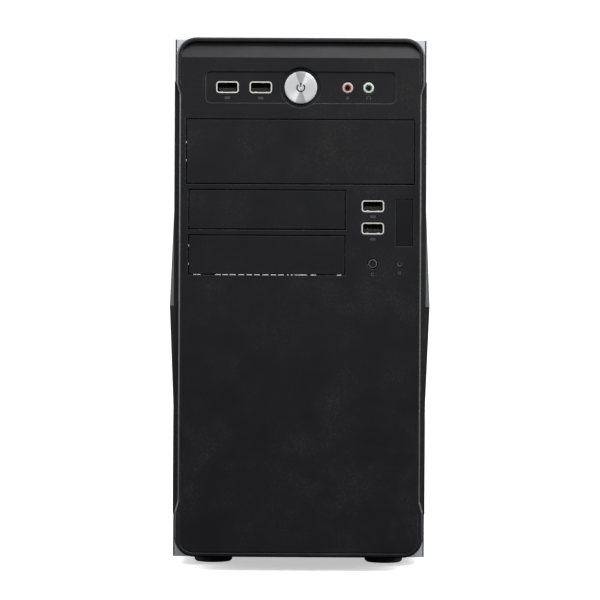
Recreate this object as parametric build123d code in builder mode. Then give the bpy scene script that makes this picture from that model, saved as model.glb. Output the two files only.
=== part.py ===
"""Desktop computer tower: steel chassis, moulded front bezel, side panels and the parts inside.

Millimetres. X runs to the right seen from the front, Y runs to the rear, Z is up.
The origin is under the centre of the whole object, on the surface it stands on.
"""
import math
import os

from build123d import *

os.makedirs("parts", exist_ok=True)

# ---------------------------------------------------------------- overall sizes
case_w = 170.0            # over the flat of both side panels
case_h = 350.0            # chassis without its feet
case_d = 350.0            # chassis from front frame to rear panel
bezel_w = 164.0
bezel_h = 343.0
bezel_d = 40.0
bezel_rise = 4.0          # bezel's lower edge above the chassis floor
foot_h = 5.5
sheet = 0.8               # steel sheet of the chassis and panels
wall = 2.5                # side walls of the bezel
plate = 3.0               # front plate of the bezel

# ---------------------------------------------------------------- clearances
fit = 0.2                 # between parts assembled by hand
slip = 0.4                # round a sliding or turning part
run_fit = 0.1             # radial clearance of a shaft in its bore
cover_gap = 0.6           # shadow gap round a bay cover
axial_gap = 0.6           # between a rotor and its frame

# ---------------------------------------------------------------- derived planes
thumb_head_h = 6.5
overall_d = bezel_d + case_d + sheet + thumb_head_h
face_y = -overall_d / 2
front_y = face_y + bezel_d
rear_y = front_y + case_d
inner_front_y = front_y + sheet
inner_rear_y = rear_y - sheet
floor_z = foot_h
roof_z = floor_z + case_h
inner_floor_z = floor_z + sheet
inner_roof_z = roof_z - sheet
skin_x = case_w / 2
skin_inner_x = skin_x - sheet
box_x = skin_inner_x - fit
bezel_z = floor_z + bezel_rise
bezel_top = bezel_z + bezel_h
bezel_mid = bezel_z + bezel_h / 2


def front_plane(y):
    """Plane facing the front, whose local x and y are the object's X and Z."""
    return Plane(origin=(0, y, 0), x_dir=(1, 0, 0), z_dir=(0, -1, 0))


def side_plane(x):
    """Plane facing +X, whose local x and y are the object's Y and Z."""
    return Plane(origin=(x, 0, 0), x_dir=(0, 1, 0), z_dir=(1, 0, 0))


def mid(span):
    return (span[0] + span[1]) / 2


def around(centre, width):
    return (centre - width / 2, centre + width / 2)


def block(x, y, z, mode=Mode.ADD):
    """Box between the (low, high) pairs x, y and z."""
    with Locations((mid(x), mid(y), mid(z))):
        Box(x[1] - x[0], y[1] - y[0], z[1] - z[0], mode=mode)


def rod_x(x, y, z, radius, mode=Mode.ADD):
    with Locations(Location((mid(x), y, z), (0, 90, 0))):
        Cylinder(radius, x[1] - x[0], mode=mode)


def rod_y(x, y, z, radius, mode=Mode.ADD):
    with Locations(Location((x, mid(y), z), (90, 0, 0))):
        Cylinder(radius, y[1] - y[0], mode=mode)


def rod_z(x, y, z, radius, mode=Mode.ADD):
    with Locations((x, y, mid(z))):
        Cylinder(radius, z[1] - z[0], mode=mode)


def save(builder, name):
    builder.part.label = name
    export_step(builder.part, f"parts/{name}.step")


# ---------------------------------------------------------------- shared hardware sizes
screw_shank_r = 1.6
screw_head_r = 3.6
screw_head_h = 2.2
screw_l = 5.0
screw_hole_r = screw_shank_r + fit
screw_slot_w = 1.1

# One pan-head screw with a cross recess: its head lies on z = 0 and its shank points down.
with BuildPart() as screw:
    rod_z(0, 0, (0, screw_head_h), screw_head_r)
    fillet(screw.edges().filter_by(GeomType.CIRCLE).sort_by(Axis.Z)[-1], screw_head_h / 2)
    rod_z(0, 0, (-screw_l, 0), screw_shank_r)
    for turn in (0, 90):
        with Locations(Location((0, 0, screw_head_h), (0, 0, turn))):
            Box(screw_head_r, screw_slot_w, screw_head_h, mode=Mode.SUBTRACT)

# ---------------------------------------------------------------- chassis shell
flange_h = 12.0           # chassis flanges that the side panels hook on
notch_slack = 1.0         # room round the panel rails where they pass the rear panel
foot_r = 13.0
foot_x = 58.5
foot_front_set, foot_rear_set = 65.0, 41.0
foot_front_y = face_y + foot_front_set
foot_rear_y = rear_y - foot_rear_set
foot_pin_r = 2.4
foot_pin_rise = 3.0
foot_hollow = 1.5
foot_points = [(x, y) for x in (-foot_x, foot_x) for y in (foot_front_y, foot_rear_y)]
rivet_r = 2.4
rivet_h = 0.9
tab_h = 7.0
rivet_xs = (-56.0, -28.0, 28.0, 56.0)
rivet_points = [(x, inner_floor_z + tab_h / 2) for x in rivet_xs]

with BuildPart() as base_pan:
    block((-box_x, box_x), (inner_front_y, inner_rear_y), (floor_z, inner_floor_z))
    for side in (-1, 1):
        flange_x = sorted((side * box_x, side * (box_x - sheet)))
        block(flange_x, (inner_front_y, inner_rear_y), (inner_floor_z, inner_floor_z + flange_h))
    tab_x = box_x - 2 * flange_h
    block((-tab_x, tab_x), (inner_rear_y - sheet, inner_rear_y), (inner_floor_z, inner_floor_z + tab_h))
    for x, y in foot_points:
        rod_z(x, y, (floor_z, inner_floor_z), foot_pin_r + fit, Mode.SUBTRACT)
    for x, z in rivet_points:
        rod_y(x, (inner_rear_y - sheet, inner_rear_y), z, rivet_r / 2 + run_fit, Mode.SUBTRACT)
save(base_pan, "base_pan")

with BuildPart() as top_cover:
    block((-box_x, box_x), (inner_front_y, inner_rear_y), (inner_roof_z, roof_z))
    for side in (-1, 1):
        flange_x = sorted((side * box_x, side * (box_x - sheet)))
        block(flange_x, (inner_front_y, inner_rear_y), (inner_roof_z - flange_h, inner_roof_z))
save(top_cover, "top_cover")

# ---------------------------------------------------------------- side panel rails
rail_y = (front_y + 16.0, rear_y - 4.0)
rail_lip_h = 6.6
rail_x = (box_x - 3.6, box_x - 3.6 + sheet)
upper_rail_z = inner_roof_z - flange_h - slip - sheet
lower_rail_z = inner_floor_z + flange_h + slip
rail_notch_x = rail_x[0] - slip
upper_notch_z = (upper_rail_z - notch_slack, upper_rail_z + sheet + rail_lip_h + notch_slack)
lower_notch_z = (lower_rail_z - rail_lip_h - notch_slack, lower_rail_z + sheet + notch_slack)

# ---------------------------------------------------------------- power supply place
supply_w = 150.0
supply_d = 140.0
supply_h = 86.0
supply_z = inner_roof_z - fit - supply_h / 2
supply_y = (inner_rear_y - supply_d, inner_rear_y)
supply_fan_x = -26.0
supply_fan_r = 38.0
inlet_x = 41.0
inlet_drop = 13.0  # inlet and rocker, below and above the middle of the supply
inlet_z = supply_z - inlet_drop
rocker_z = supply_z + inlet_drop
inlet_plate_w = 32.0
inlet_plate_h = 52.0
supply_screws = [
    (-69.0, supply_z - 37.0),
    (69.0, supply_z - 37.0),
    (-69.0, supply_z + 27.0),
    (45.0, supply_z + 37.0),
]

# ---------------------------------------------------------------- main board place
tray_x = (box_x - 4.8, box_x - 4.0)
standoff_h = 6.7
board_t = 1.6
board_x = (tray_x[0] - standoff_h - board_t, tray_x[0] - standoff_h)
board_d = 188.0
board_y = (inner_rear_y - 4.0 - board_d, inner_rear_y - 4.0)
board_h = 244.0
board_z = (floor_z + 12.5, floor_z + 12.5 + board_h)
shield_x = (board_x[1] - 44.4, board_x[1])
shield_h = 158.75
shield_z = (board_z[1] - 3.2 - shield_h, board_z[1] - 3.2)

# ---------------------------------------------------------------- expansion slots
slot_pitch = 20.32
slot_count = 4
slot_open_h = 12.7
slot_open_x = (-50.0, 57.0)
slot_screw_out = 6.0
slot_screw_x = slot_open_x[0] - slot_screw_out
slot_rise = 5.0
slot_low_z = board_z[0] + slot_rise
slot_heights = [slot_low_z + i * slot_pitch for i in range(slot_count)]

# ---------------------------------------------------------------- rear case fan place
fan_w = 80.0
fan_t = 25.0
fan_x = -28.0
fan_rise = 210.0
fan_z = floor_z + fan_rise
fan_screw_pitch = 71.5
fan_duct_r = 38.6
vent_hole_r = 2.2
vent_pitch = 6.6
vent_rings = 5
fan_screw_reach = fan_screw_pitch / 2
fan_screws = [(fan_x + i * fan_screw_reach, fan_z + j * fan_screw_reach) for i in (-1, 1) for j in (-1, 1)]

# ---------------------------------------------------------------- thumbscrew places
thumb_in = 6.0
thumb_x = skin_x - thumb_in
thumb_drop, thumb_rise = 25.5, 24.5
thumb_zs = {"upper": roof_z - thumb_drop, "lower": floor_z + thumb_rise}
thumb_head_r = 5.5
thumb_shank_r = 1.7
thumb_l = 6.0

with BuildPart() as rear_panel:
    block((-box_x, box_x), (inner_rear_y, rear_y), (floor_z, roof_z))
    through_y = (inner_rear_y, rear_y)
    for side in (-1, 1):
        notch_x = sorted((side * rail_notch_x, side * box_x))
        block(notch_x, through_y, upper_notch_z, Mode.SUBTRACT)
        block(notch_x, through_y, lower_notch_z, Mode.SUBTRACT)
        for z in thumb_zs.values():
            rod_y(side * thumb_x, through_y, z, thumb_shank_r + run_fit, Mode.SUBTRACT)
    rod_y(supply_fan_x, through_y, supply_z, supply_fan_r + 1.5, Mode.SUBTRACT)
    block(
        around(inlet_x, inlet_plate_w + 2 * fit),
        through_y,
        around(mid((inlet_z, rocker_z)), inlet_plate_h + 2 * fit),
        Mode.SUBTRACT,
    )
    block(shield_x, through_y, shield_z, Mode.SUBTRACT)
    for z in slot_heights:
        block(slot_open_x, through_y, around(z, slot_open_h), Mode.SUBTRACT)
        rod_y(slot_screw_x, through_y, z, screw_hole_r, Mode.SUBTRACT)
    for x, z in supply_screws + fan_screws:
        rod_y(x, through_y, z, screw_hole_r, Mode.SUBTRACT)
    for x, z in rivet_points:
        rod_y(x, through_y, z, rivet_r / 2 + run_fit, Mode.SUBTRACT)
    with BuildSketch(front_plane(inner_rear_y)) as rear_vent:
        with Locations((fan_x, fan_z)):
            Circle(vent_hole_r)
            for ring in range(1, vent_rings + 1):
                with PolarLocations(ring * vent_pitch, 6 * ring):
                    Circle(vent_hole_r)
    extrude(amount=-sheet, mode=Mode.SUBTRACT)
save(rear_panel, "rear_panel")

# ---------------------------------------------------------------- bays in the bezel and front frame
bay_drop = 53.6
bay_top = bezel_top - bay_drop
large_bay_w = 151.4
large_bay_h = 43.4
small_bay_w = 104.0
small_bay_h = 26.7
small_bay_x = (-73.9, -73.9 + small_bay_w)
bay_bar = 3.25            # bar between two bay openings
large_bay_z = (bay_top - large_bay_h, bay_top)
upper_bay_z = (large_bay_z[0] - bay_bar - small_bay_h, large_bay_z[0] - bay_bar)
lower_bay_z = (upper_bay_z[0] - bay_bar - small_bay_h, upper_bay_z[0] - bay_bar)
large_bay_x = (-large_bay_w / 2, large_bay_w / 2)
bays = [(large_bay_x, large_bay_z), (small_bay_x, upper_bay_z), (small_bay_x, lower_bay_z)]

# ---------------------------------------------------------------- drive cage
cage_x = 74.0             # half the width between the cage sides, for a 146 mm wide drive
cage_y = (inner_front_y, inner_front_y + 150.0)
cage_wall_set = 1.5
cage_inner_x = small_bay_x[1] - cage_wall_set
shelf_z = mid((large_bay_z[0], upper_bay_z[1])) - sheet / 2
drive_w = 101.6
drive_d = 147.0
drive_h = 26.1
cage_room = 9.5
cage_floor_z = lower_bay_z[0] - drive_h - cage_room
drive_x = around(mid((-cage_x, cage_inner_x)), drive_w)
drive_y = (inner_front_y + 2.0, inner_front_y + 2.0 + drive_d)
drive_z = (cage_floor_z + sheet + 3.0, cage_floor_z + sheet + 3.0 + drive_h)
drive_screw_ys = (drive_y[0] + 28.5, drive_y[0] + 130.1)
drive_screw_rise = 6.35
drive_screw_z = drive_z[0] + drive_screw_rise
drive_slot_l = 14.0
bay_slot_l = 100.0
bay_slot_w = 9.0

with BuildPart() as drive_cage_left:
    block((-cage_x - sheet, -cage_x), cage_y, (cage_floor_z, inner_roof_z))
    with BuildSketch(side_plane(-cage_x - sheet)):
        for y in drive_screw_ys:
            with Locations((y, drive_screw_z)):
                SlotOverall(drive_slot_l, 2 * screw_hole_r)
        with Locations(*[(mid(cage_y), mid(bay_z)) for bay_x, bay_z in bays]):
            SlotOverall(bay_slot_l, bay_slot_w)
    extrude(amount=sheet, mode=Mode.SUBTRACT)
save(drive_cage_left, "drive_cage_left")

with BuildPart() as drive_cage_right:
    block((cage_x, cage_x + sheet), cage_y, (shelf_z, inner_roof_z))
    block((-cage_x, cage_x), cage_y, (shelf_z, shelf_z + sheet))
    with BuildSketch(side_plane(cage_x)):
        with Locations((mid(cage_y), mid(large_bay_z))):
            SlotOverall(bay_slot_l, bay_slot_w)
    extrude(amount=sheet, mode=Mode.SUBTRACT)
save(drive_cage_right, "drive_cage_right")

with BuildPart() as drive_cage_inner:
    block((cage_inner_x, cage_inner_x + sheet), cage_y, (cage_floor_z, shelf_z))
    block((-cage_x, cage_inner_x), cage_y, (cage_floor_z, cage_floor_z + sheet))
    with BuildSketch(side_plane(cage_inner_x)):
        for y in drive_screw_ys:
            with Locations((y, drive_screw_z)):
                SlotOverall(drive_slot_l, 2 * screw_hole_r)
        with Locations((mid(cage_y), mid(lower_bay_z)), (mid(cage_y), mid(upper_bay_z))):
            SlotOverall(bay_slot_l, bay_slot_w)
    extrude(amount=sheet, mode=Mode.SUBTRACT)
save(drive_cage_inner, "drive_cage_inner")

# ---------------------------------------------------------------- front frame
clip_x = 68.0
clip_w = 8.0
clip_t = 1.6
clip_zs = (bezel_z + 15.5, bezel_z + 130.5, bezel_top - 17.5)
intake_w = 110.0
intake_slots = 12
intake_pitch = 8.0
intake_rise = 80.0
intake_z = floor_z + intake_rise
lead_hole = (26.0, 12.0)
bay_side_cover = 1.7      # how far the frame stands in from a bay opening at each side
bay_edge_cover = 0.3
top_ports_drop = 32.9
top_ports_z = bezel_top - top_ports_drop
side_ports_x = 48.0

with BuildPart() as front_frame:
    block((-box_x, box_x), (front_y, inner_front_y), (floor_z, roof_z))
    for side in (-1, 1):
        flange_x = sorted((side * box_x, side * (box_x - sheet)))
        flange_z = (inner_floor_z + flange_h + fit, inner_roof_z - flange_h - fit)
        block(flange_x, (inner_front_y, inner_front_y + flange_h), flange_z)
    with BuildSketch(front_plane(inner_front_y)):
        for bay_x, bay_z in bays:
            with Locations((mid(bay_x), mid(bay_z))):
                frame_open_w = bay_x[1] - bay_x[0] - 2 * bay_side_cover
                Rectangle(frame_open_w, bay_z[1] - bay_z[0] - 2 * bay_edge_cover)
        with Locations((0, intake_z)):
            with GridLocations(0, intake_pitch, 1, intake_slots):
                SlotOverall(intake_w, intake_pitch / 2)
        for z in clip_zs:
            with Locations((-clip_x, z), (clip_x, z)):
                Rectangle(2 * clip_t + 2.0, clip_w + 1.0)
        with Locations((0, top_ports_z), (side_ports_x + 6.0, mid(lower_bay_z))):
            Rectangle(*lead_hole)
    extrude(amount=sheet, mode=Mode.SUBTRACT)
save(front_frame, "front_frame")

with BuildPart() as chassis_rivets:
    for x, z in rivet_points:
        rod_y(x, (inner_rear_y - 2 * sheet, rear_y), z, rivet_r / 2)
        rod_y(x, (rear_y, rear_y + rivet_h), z, rivet_r)
    fillet(chassis_rivets.edges().filter_by(GeomType.CIRCLE).group_by(Axis.Y)[-1], rivet_h / 2)
save(chassis_rivets, "chassis_rivets")

standoff_r = 2.9
standoff_ys = (board_y[0] + 10.0, mid(board_y) + 6.0, board_y[1] - 18.0)
standoff_zs = (board_z[0] + 7.0, mid(board_z) - 6.0, board_z[1] - 8.0)
standoff_points = [(y, z) for y in standoff_ys for z in standoff_zs]

with BuildPart() as board_tray:
    block(tray_x, (board_y[0] - 6.0, inner_rear_y), (inner_floor_z, board_z[1] + 4.0))
    block(tray_x, (inner_rear_y - thumb_l - 2.0, inner_rear_y), around(thumb_zs["lower"], 9.0), Mode.SUBTRACT)
    for y, z in standoff_points:
        rod_x(tray_x, y, z, screw_shank_r + run_fit, Mode.SUBTRACT)
    with BuildSketch(side_plane(tray_x[0])):
        with Locations((board_y[0] + 62.0, board_z[1] - 60.0)):
            SlotOverall(52.0, 22.0)
    extrude(amount=sheet, mode=Mode.SUBTRACT)
save(board_tray, "board_tray")

# ---------------------------------------------------------------- feet
with BuildPart() as feet:
    for x, y in foot_points:
        rod_z(x, y, (0, foot_h), foot_r)
    foot_edge = 1.2
    chamfer(feet.edges().filter_by(GeomType.CIRCLE).group_by(Axis.Z)[0], foot_edge)
    for x, y in foot_points:
        rod_z(x, y, (0, foot_hollow), foot_r / 2, Mode.SUBTRACT)
        rod_z(x, y, (foot_h, inner_floor_z + foot_pin_rise), foot_pin_r)
save(feet, "feet")

# ---------------------------------------------------------------- slot covers and rear connector shield
slot_cover_t = 0.9
slot_cover_h = 18.4
slot_screw_margin, slot_cover_lap = 6.0, 2.0
slot_cover_x = (slot_screw_x - slot_screw_margin, slot_open_x[1] + slot_cover_lap)

with BuildPart() as slot_covers:
    cover_y = (inner_rear_y - slot_cover_t, inner_rear_y)
    for z in slot_heights:
        block(slot_cover_x, cover_y, around(z, slot_cover_h))
        rod_y(slot_screw_x, cover_y, z, screw_hole_r, Mode.SUBTRACT)
        with BuildSketch(front_plane(inner_rear_y - slot_cover_t)):
            with Locations((mid(slot_open_x), z)):
                intake_pitch_x, intake_pitch_z, intake_columns, intake_hole_r = 7.0, 5.0, 13, 1.6
                with GridLocations(intake_pitch_x, intake_pitch_z, intake_columns, 2):
                    Circle(intake_hole_r)
        extrude(amount=-slot_cover_t, mode=Mode.SUBTRACT)
save(slot_covers, "slot_covers")

shield_t = 0.4
shield_rim = 2.0
port_gap = 0.3
port_y = (inner_rear_y - 18.0, rear_y - 0.1)
# Rear connectors from the top of the board down: width along Z, height off the board along X.
port_kinds = {
    "keyboard": (14.0, 13.0),
    "usb_upper": (13.6, 15.6),
    "video": (31.0, 12.5),
    "usb_middle": (13.6, 15.6),
    "network": (16.4, 27.0),
    "audio": (12.6, 33.0),
}
port_space = (shield_h - sum(size[0] for size in port_kinds.values())) / (len(port_kinds) + 1)
port_places = {}
port_edge = shield_z[1]
for port, (width, height) in port_kinds.items():
    port_edge -= port_space
    port_places[port] = ((board_x[0] - height, board_x[0]), (port_edge - width, port_edge))
    port_edge -= width

with BuildPart() as io_shield:
    block(
        (shield_x[0] - shield_rim, shield_x[1] + shield_rim),
        (inner_rear_y - shield_t, inner_rear_y),
        (shield_z[0] - shield_rim, shield_z[1] + shield_rim),
    )
    block(
        (shield_x[0] + fit, shield_x[1] - fit),
        (inner_rear_y, rear_y - fit),
        (shield_z[0] + fit, shield_z[1] - fit),
    )
    for port_x, port_z in port_places.values():
        block(
            (port_x[0] - port_gap, port_x[1] + port_gap),
            (inner_rear_y - shield_t, rear_y),
            (port_z[0] - port_gap, port_z[1] + port_gap),
            Mode.SUBTRACT,
        )
save(io_shield, "io_shield")

usb_open_w = 12.0
usb_open_h = 4.8
usb_tongue_t = 1.4
mouth_depth = 9.0
video_depth = 4.0
usb_outer_set, usb_inner_set = 4.0, 4.2  # middles of the two mouths from the sides of the double socket
usb_tongue_shift = 1.0
usb_tongue_side = 0.8
usb_inner_rim, lower_usb_h = 3.2, 4.8
network_rim = 1.6
network_open = (11.6, 11.8)
audio_pitch, audio_bore_r = 11.0, 1.8
keyboard_open_r, keyboard_key_r = 4.6, 1.6
video_open, video_key, video_key_set = (8.0, 17.0), (5.6, 14.6), 1.0
with BuildPart() as rear_ports:
    for port_x, port_z in port_places.values():
        block(port_x, port_y, port_z)
    mouth_y = (port_y[1] - mouth_depth, port_y[1])
    for port in ("usb_upper", "usb_middle"):
        port_x, port_z = port_places[port]
        for centre in (port_x[0] + usb_outer_set, port_x[1] - usb_inner_set):
            block(around(centre, usb_open_h), mouth_y, around(mid(port_z), usb_open_w), Mode.SUBTRACT)
            block(
                around(centre + usb_tongue_shift, usb_tongue_t), mouth_y,
                around(mid(port_z), usb_open_w - 2 * usb_tongue_side),
            )
    port_x, port_z = port_places["network"]
    plug_x = (port_x[0] + network_rim, port_x[0] + network_rim + network_open[0])
    block(plug_x, mouth_y, around(mid(port_z), network_open[1]), Mode.SUBTRACT)
    lower_usb_x = (port_x[1] - usb_inner_rim - lower_usb_h, port_x[1] - usb_inner_rim)
    block(lower_usb_x, mouth_y, around(mid(port_z), usb_open_w), Mode.SUBTRACT)
    port_x, port_z = port_places["audio"]
    for i in range(3):
        rod_y(port_x[0] + (i + 0.5) * audio_pitch, mouth_y, mid(port_z), audio_bore_r, Mode.SUBTRACT)
    port_x, port_z = port_places["keyboard"]
    rod_y(mid(port_x), mouth_y, mid(port_z), keyboard_open_r, Mode.SUBTRACT)
    rod_y(mid(port_x), mouth_y, mid(port_z), keyboard_key_r)
    port_x, port_z = port_places["video"]
    video_y = (port_y[1] - video_depth, port_y[1])
    block(around(mid(port_x), video_open[0]), video_y, around(mid(port_z), video_open[1]), Mode.SUBTRACT)
    video_key_y = (video_y[0], video_y[1] - video_key_set)
    block(around(mid(port_x), video_key[0]), video_key_y, around(mid(port_z), video_key[1]))
save(rear_ports, "rear_ports")

# ---------------------------------------------------------------- main board and what stands on it
with BuildPart() as main_board:
    block(board_x, board_y, board_z)
    for y, z in standoff_points:
        rod_x(board_x, y, z, screw_hole_r, Mode.SUBTRACT)
save(main_board, "main_board")

with BuildPart() as standoffs:
    with BuildSketch(side_plane(board_x[1])):
        with Locations(*standoff_points):
            RegularPolygon(standoff_r, 6)
    extrude(amount=standoff_h)
    for y, z in standoff_points:
        rod_x((tray_x[0], tray_x[1]), y, z, screw_shank_r)
        rod_x((board_x[1], board_x[1] + screw_l), y, z, screw_shank_r + run_fit, Mode.SUBTRACT)
save(standoffs, "standoffs")

board_face = board_x[0]
cpu_set, cpu_drop = 76.5, 57.0
cpu_y = board_y[1] - cpu_set
cpu_z = board_z[1] - cpu_drop
cpu_w = 38.0
cpu_h = 7.0
cpu_socket_h = 4.5
cpu_socket_rim = 5.0
cooler_w = 70.0
cooler_base = 5.0
fin_h = 30.0
fin_t = 1.0
fin_count = 18
post_offset = 31.0
post_r = 2.5
cpu_fan_t = 15.0
cpu_strut_t = 2.0
cpu_hub_r = 13.0
cooler_face = board_face - cpu_h - cooler_base - fin_h

with BuildPart() as processor:
    socket_w = cpu_w + 2 * cpu_socket_rim
    block((board_face - cpu_socket_h, board_face), around(cpu_y, socket_w), around(cpu_z, socket_w))
    block((board_face - cpu_h, board_face - cpu_socket_h), around(cpu_y, cpu_w), around(cpu_z, cpu_w))
save(processor, "processor")

with BuildPart() as processor_heatsink:
    base_x = (board_face - cpu_h - cooler_base, board_face - cpu_h)
    block(base_x, around(cpu_y, cooler_w), around(cpu_z, cooler_w))
    fin_x = (cooler_face, base_x[0])
    for i in range(fin_count):
        fin_z = cpu_z - cooler_w / 2 + fin_t / 2 + i * (cooler_w - fin_t) / (fin_count - 1)
        block(fin_x, around(cpu_y, cooler_w), around(fin_z, fin_t))
    for i in (-1, 1):
        for j in (-1, 1):
            rod_x((base_x[0], board_face), cpu_y + i * post_offset, cpu_z + j * post_offset, post_r)
save(processor_heatsink, "processor_heatsink")

memory_slot_l = 142.0
memory_slot_w = 6.5
memory_slot_h = 8.0
memory_l = 133.35
memory_h = 30.0
memory_t = 1.3
memory_groove = 5.0
memory_chips = 8
memory_chip_pitch = 15.5
memory_chip = (11.0, 1.0, 8.0)
memory_ys = (board_y[0] + 32.0, board_y[0] + 42.0)
memory_drop = 85.0
memory_z = around(board_z[1] - memory_drop, memory_slot_l)

with BuildPart() as memory_slots:
    slot_x = (board_face - memory_slot_h, board_face)
    for y in memory_ys:
        block(slot_x, around(y, memory_slot_w), memory_z)
        groove_x = (slot_x[0], slot_x[0] + memory_groove)
        block(groove_x, around(y, memory_t + fit), around(mid(memory_z), memory_l + 2 * fit), Mode.SUBTRACT)
save(memory_slots, "memory_slots")

with BuildPart() as memory_module:
    module_x = (groove_x[1] - memory_h, groove_x[1])
    block(module_x, around(memory_ys[0], memory_t), around(mid(memory_z), memory_l))
    for i in range(memory_chips):
        chip_y = memory_ys[0] - (memory_t + memory_chip[1]) / 2
        chip_z = mid(memory_z) + (i - (memory_chips - 1) / 2) * memory_chip_pitch
        with Locations((mid(module_x) - 2.0, chip_y, chip_z)):
            Box(*memory_chip)
save(memory_module, "memory_module")

card_socket_h = 11.0
card_socket_w = 7.4
card_socket_set = 108.0
card_socket_y = board_y[1] - card_socket_set
card_socket_ls = (25.0, 25.0, 89.0)
card_groove_w = 1.8

with BuildPart() as expansion_sockets:
    for z, length in zip(slot_heights[1:], card_socket_ls):
        socket_y = (card_socket_y, card_socket_y + length)
        block((board_face - card_socket_h, board_face), socket_y, around(z, card_socket_w))
        groove_y = (socket_y[0] + 2.0, socket_y[1] - 2.0)
        groove_x = (board_face - card_socket_h, board_face - 3.0)
        block(groove_x, groove_y, around(z, card_groove_w), Mode.SUBTRACT)
save(expansion_sockets, "expansion_sockets")


# ---------------------------------------------------------------- fans
blade_t = 1.6
blade_pitch = 38.0
blade_root = 2.0          # how far a blade runs into the hub and past the tip circle before trimming
hub_round = 0.8
hub_cap_t = 3.0
pin_end_gap = 1.5         # from the end of a pin to the bottom of its bore
strut_t = 2.5
strut_w = 4.0


def fan_rotor(tip_r, hub_r, depth, blade_count, pin_r):
    """Fan rotor round the Z axis, from z = 0 up to its depth, with a blind bore for its pin from below."""
    with BuildPart() as rotor:
        blade_rise = 0.8 * (depth - blade_t)
        chord = blade_rise / math.sin(math.radians(blade_pitch))
        with PolarLocations((tip_r + hub_r) / 2, blade_count):
            with Locations(Location((0, 0, depth / 2), (blade_pitch, 0, 0))):
                Box(tip_r - hub_r + 2 * blade_root, chord, blade_t)
        Cylinder(tip_r, 2 * depth, mode=Mode.INTERSECT)
        rod_z(0, 0, (0, depth), hub_r)
        fillet(rotor.edges().filter_by(GeomType.CIRCLE).sort_by(Axis.Z)[-1], hub_round)
        rod_z(0, 0, (0, depth - hub_cap_t), pin_r, Mode.SUBTRACT)
    return rotor


pin_r = 1.5
hub_r = 15.0
blade_count = 7

with BuildPart() as rear_fan_frame:
    fan_y = (inner_rear_y - fan_t, inner_rear_y)
    block(around(fan_x, fan_w), fan_y, around(fan_z, fan_w))
    fillet(rear_fan_frame.edges().filter_by(Axis.Y), 4.0)
    rod_y(fan_x, fan_y, fan_z, fan_duct_r, Mode.SUBTRACT)
    for x, z in fan_screws:
        rod_y(x, fan_y, z, screw_hole_r, Mode.SUBTRACT)
    strut_y = (fan_y[0], fan_y[0] + strut_t)
    rod_y(fan_x, strut_y, fan_z, hub_r)
    block(around(fan_x, 2 * fan_duct_r + 1.0), strut_y, around(fan_z, strut_w))
    block(around(fan_x, strut_w), strut_y, around(fan_z, 2 * fan_duct_r + 1.0))
    rotor_l = fan_t - strut_t - 2 * axial_gap
    pin_l = axial_gap + rotor_l - hub_cap_t - pin_end_gap
    rod_y(fan_x, (strut_y[1], strut_y[1] + pin_l), fan_z, pin_r)
save(rear_fan_frame, "rear_fan_frame")

rear_rotor_y = strut_y[1] + axial_gap
rear_rotor_plane = Plane(origin=(fan_x, rear_rotor_y, fan_z), x_dir=(1, 0, 0), z_dir=(0, 1, 0))
blade_tip_gap = 1.2
rear_fan_shape = fan_rotor(fan_duct_r - blade_tip_gap, hub_r, rotor_l, blade_count, pin_r + run_fit)
with BuildPart() as rear_fan_rotor:
    with Locations(rear_rotor_plane):
        add(rear_fan_shape.part)
save(rear_fan_rotor, "rear_fan_rotor")

with BuildPart() as processor_fan_frame:
    frame_x = (cooler_face - cpu_fan_t, cooler_face)
    block(frame_x, around(cpu_y, cooler_w), around(cpu_z, cooler_w))
    fillet(processor_fan_frame.edges().filter_by(Axis.X), 3.0)
    cpu_duct_r = cooler_w / 2 - 1.5
    rod_x(frame_x, cpu_y, cpu_z, cpu_duct_r, Mode.SUBTRACT)
    cpu_strut_x = (frame_x[1] - cpu_strut_t, frame_x[1])
    rod_x(cpu_strut_x, cpu_y, cpu_z, cpu_hub_r)
    block(cpu_strut_x, around(cpu_y, 2 * cpu_duct_r + 1.0), around(cpu_z, strut_w))
    block(cpu_strut_x, around(cpu_y, strut_w), around(cpu_z, 2 * cpu_duct_r + 1.0))
    cpu_rotor_l = cpu_fan_t - cpu_strut_t - 2 * axial_gap
    cpu_pin_l = axial_gap + cpu_rotor_l - hub_cap_t - pin_end_gap
    rod_x((cpu_strut_x[0] - cpu_pin_l, cpu_strut_x[0]), cpu_y, cpu_z, pin_r)
save(processor_fan_frame, "processor_fan_frame")

cpu_rotor_plane = Plane(origin=(cpu_strut_x[0] - axial_gap, cpu_y, cpu_z), x_dir=(0, 1, 0), z_dir=(-1, 0, 0))
cpu_fan_shape = fan_rotor(cpu_duct_r - 1.0, cpu_hub_r, cpu_rotor_l, blade_count, pin_r + run_fit)
with BuildPart() as processor_fan_rotor:
    with Locations(cpu_rotor_plane):
        add(cpu_fan_shape.part)
save(processor_fan_rotor, "processor_fan_rotor")

# ---------------------------------------------------------------- power supply
supply_wall = 1.0
inlet_body_w = 27.0
inlet_body_h = 20.0
rocker_w = 18.4
rocker_h = 11.6
rocker_frame_w = 21.6
rocker_frame_h = 14.6
supply_fan_t = 18.0
supply_bar_t = 2.0
supply_vent_x = 20.0
supply_vent_pitch = 7.0
supply_vents = 9
supply_vent_l = 80.0
loom_r = 5.0
loom_x = -38.0
loom_drop = 22.0
loom_z = supply_z - loom_drop

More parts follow.
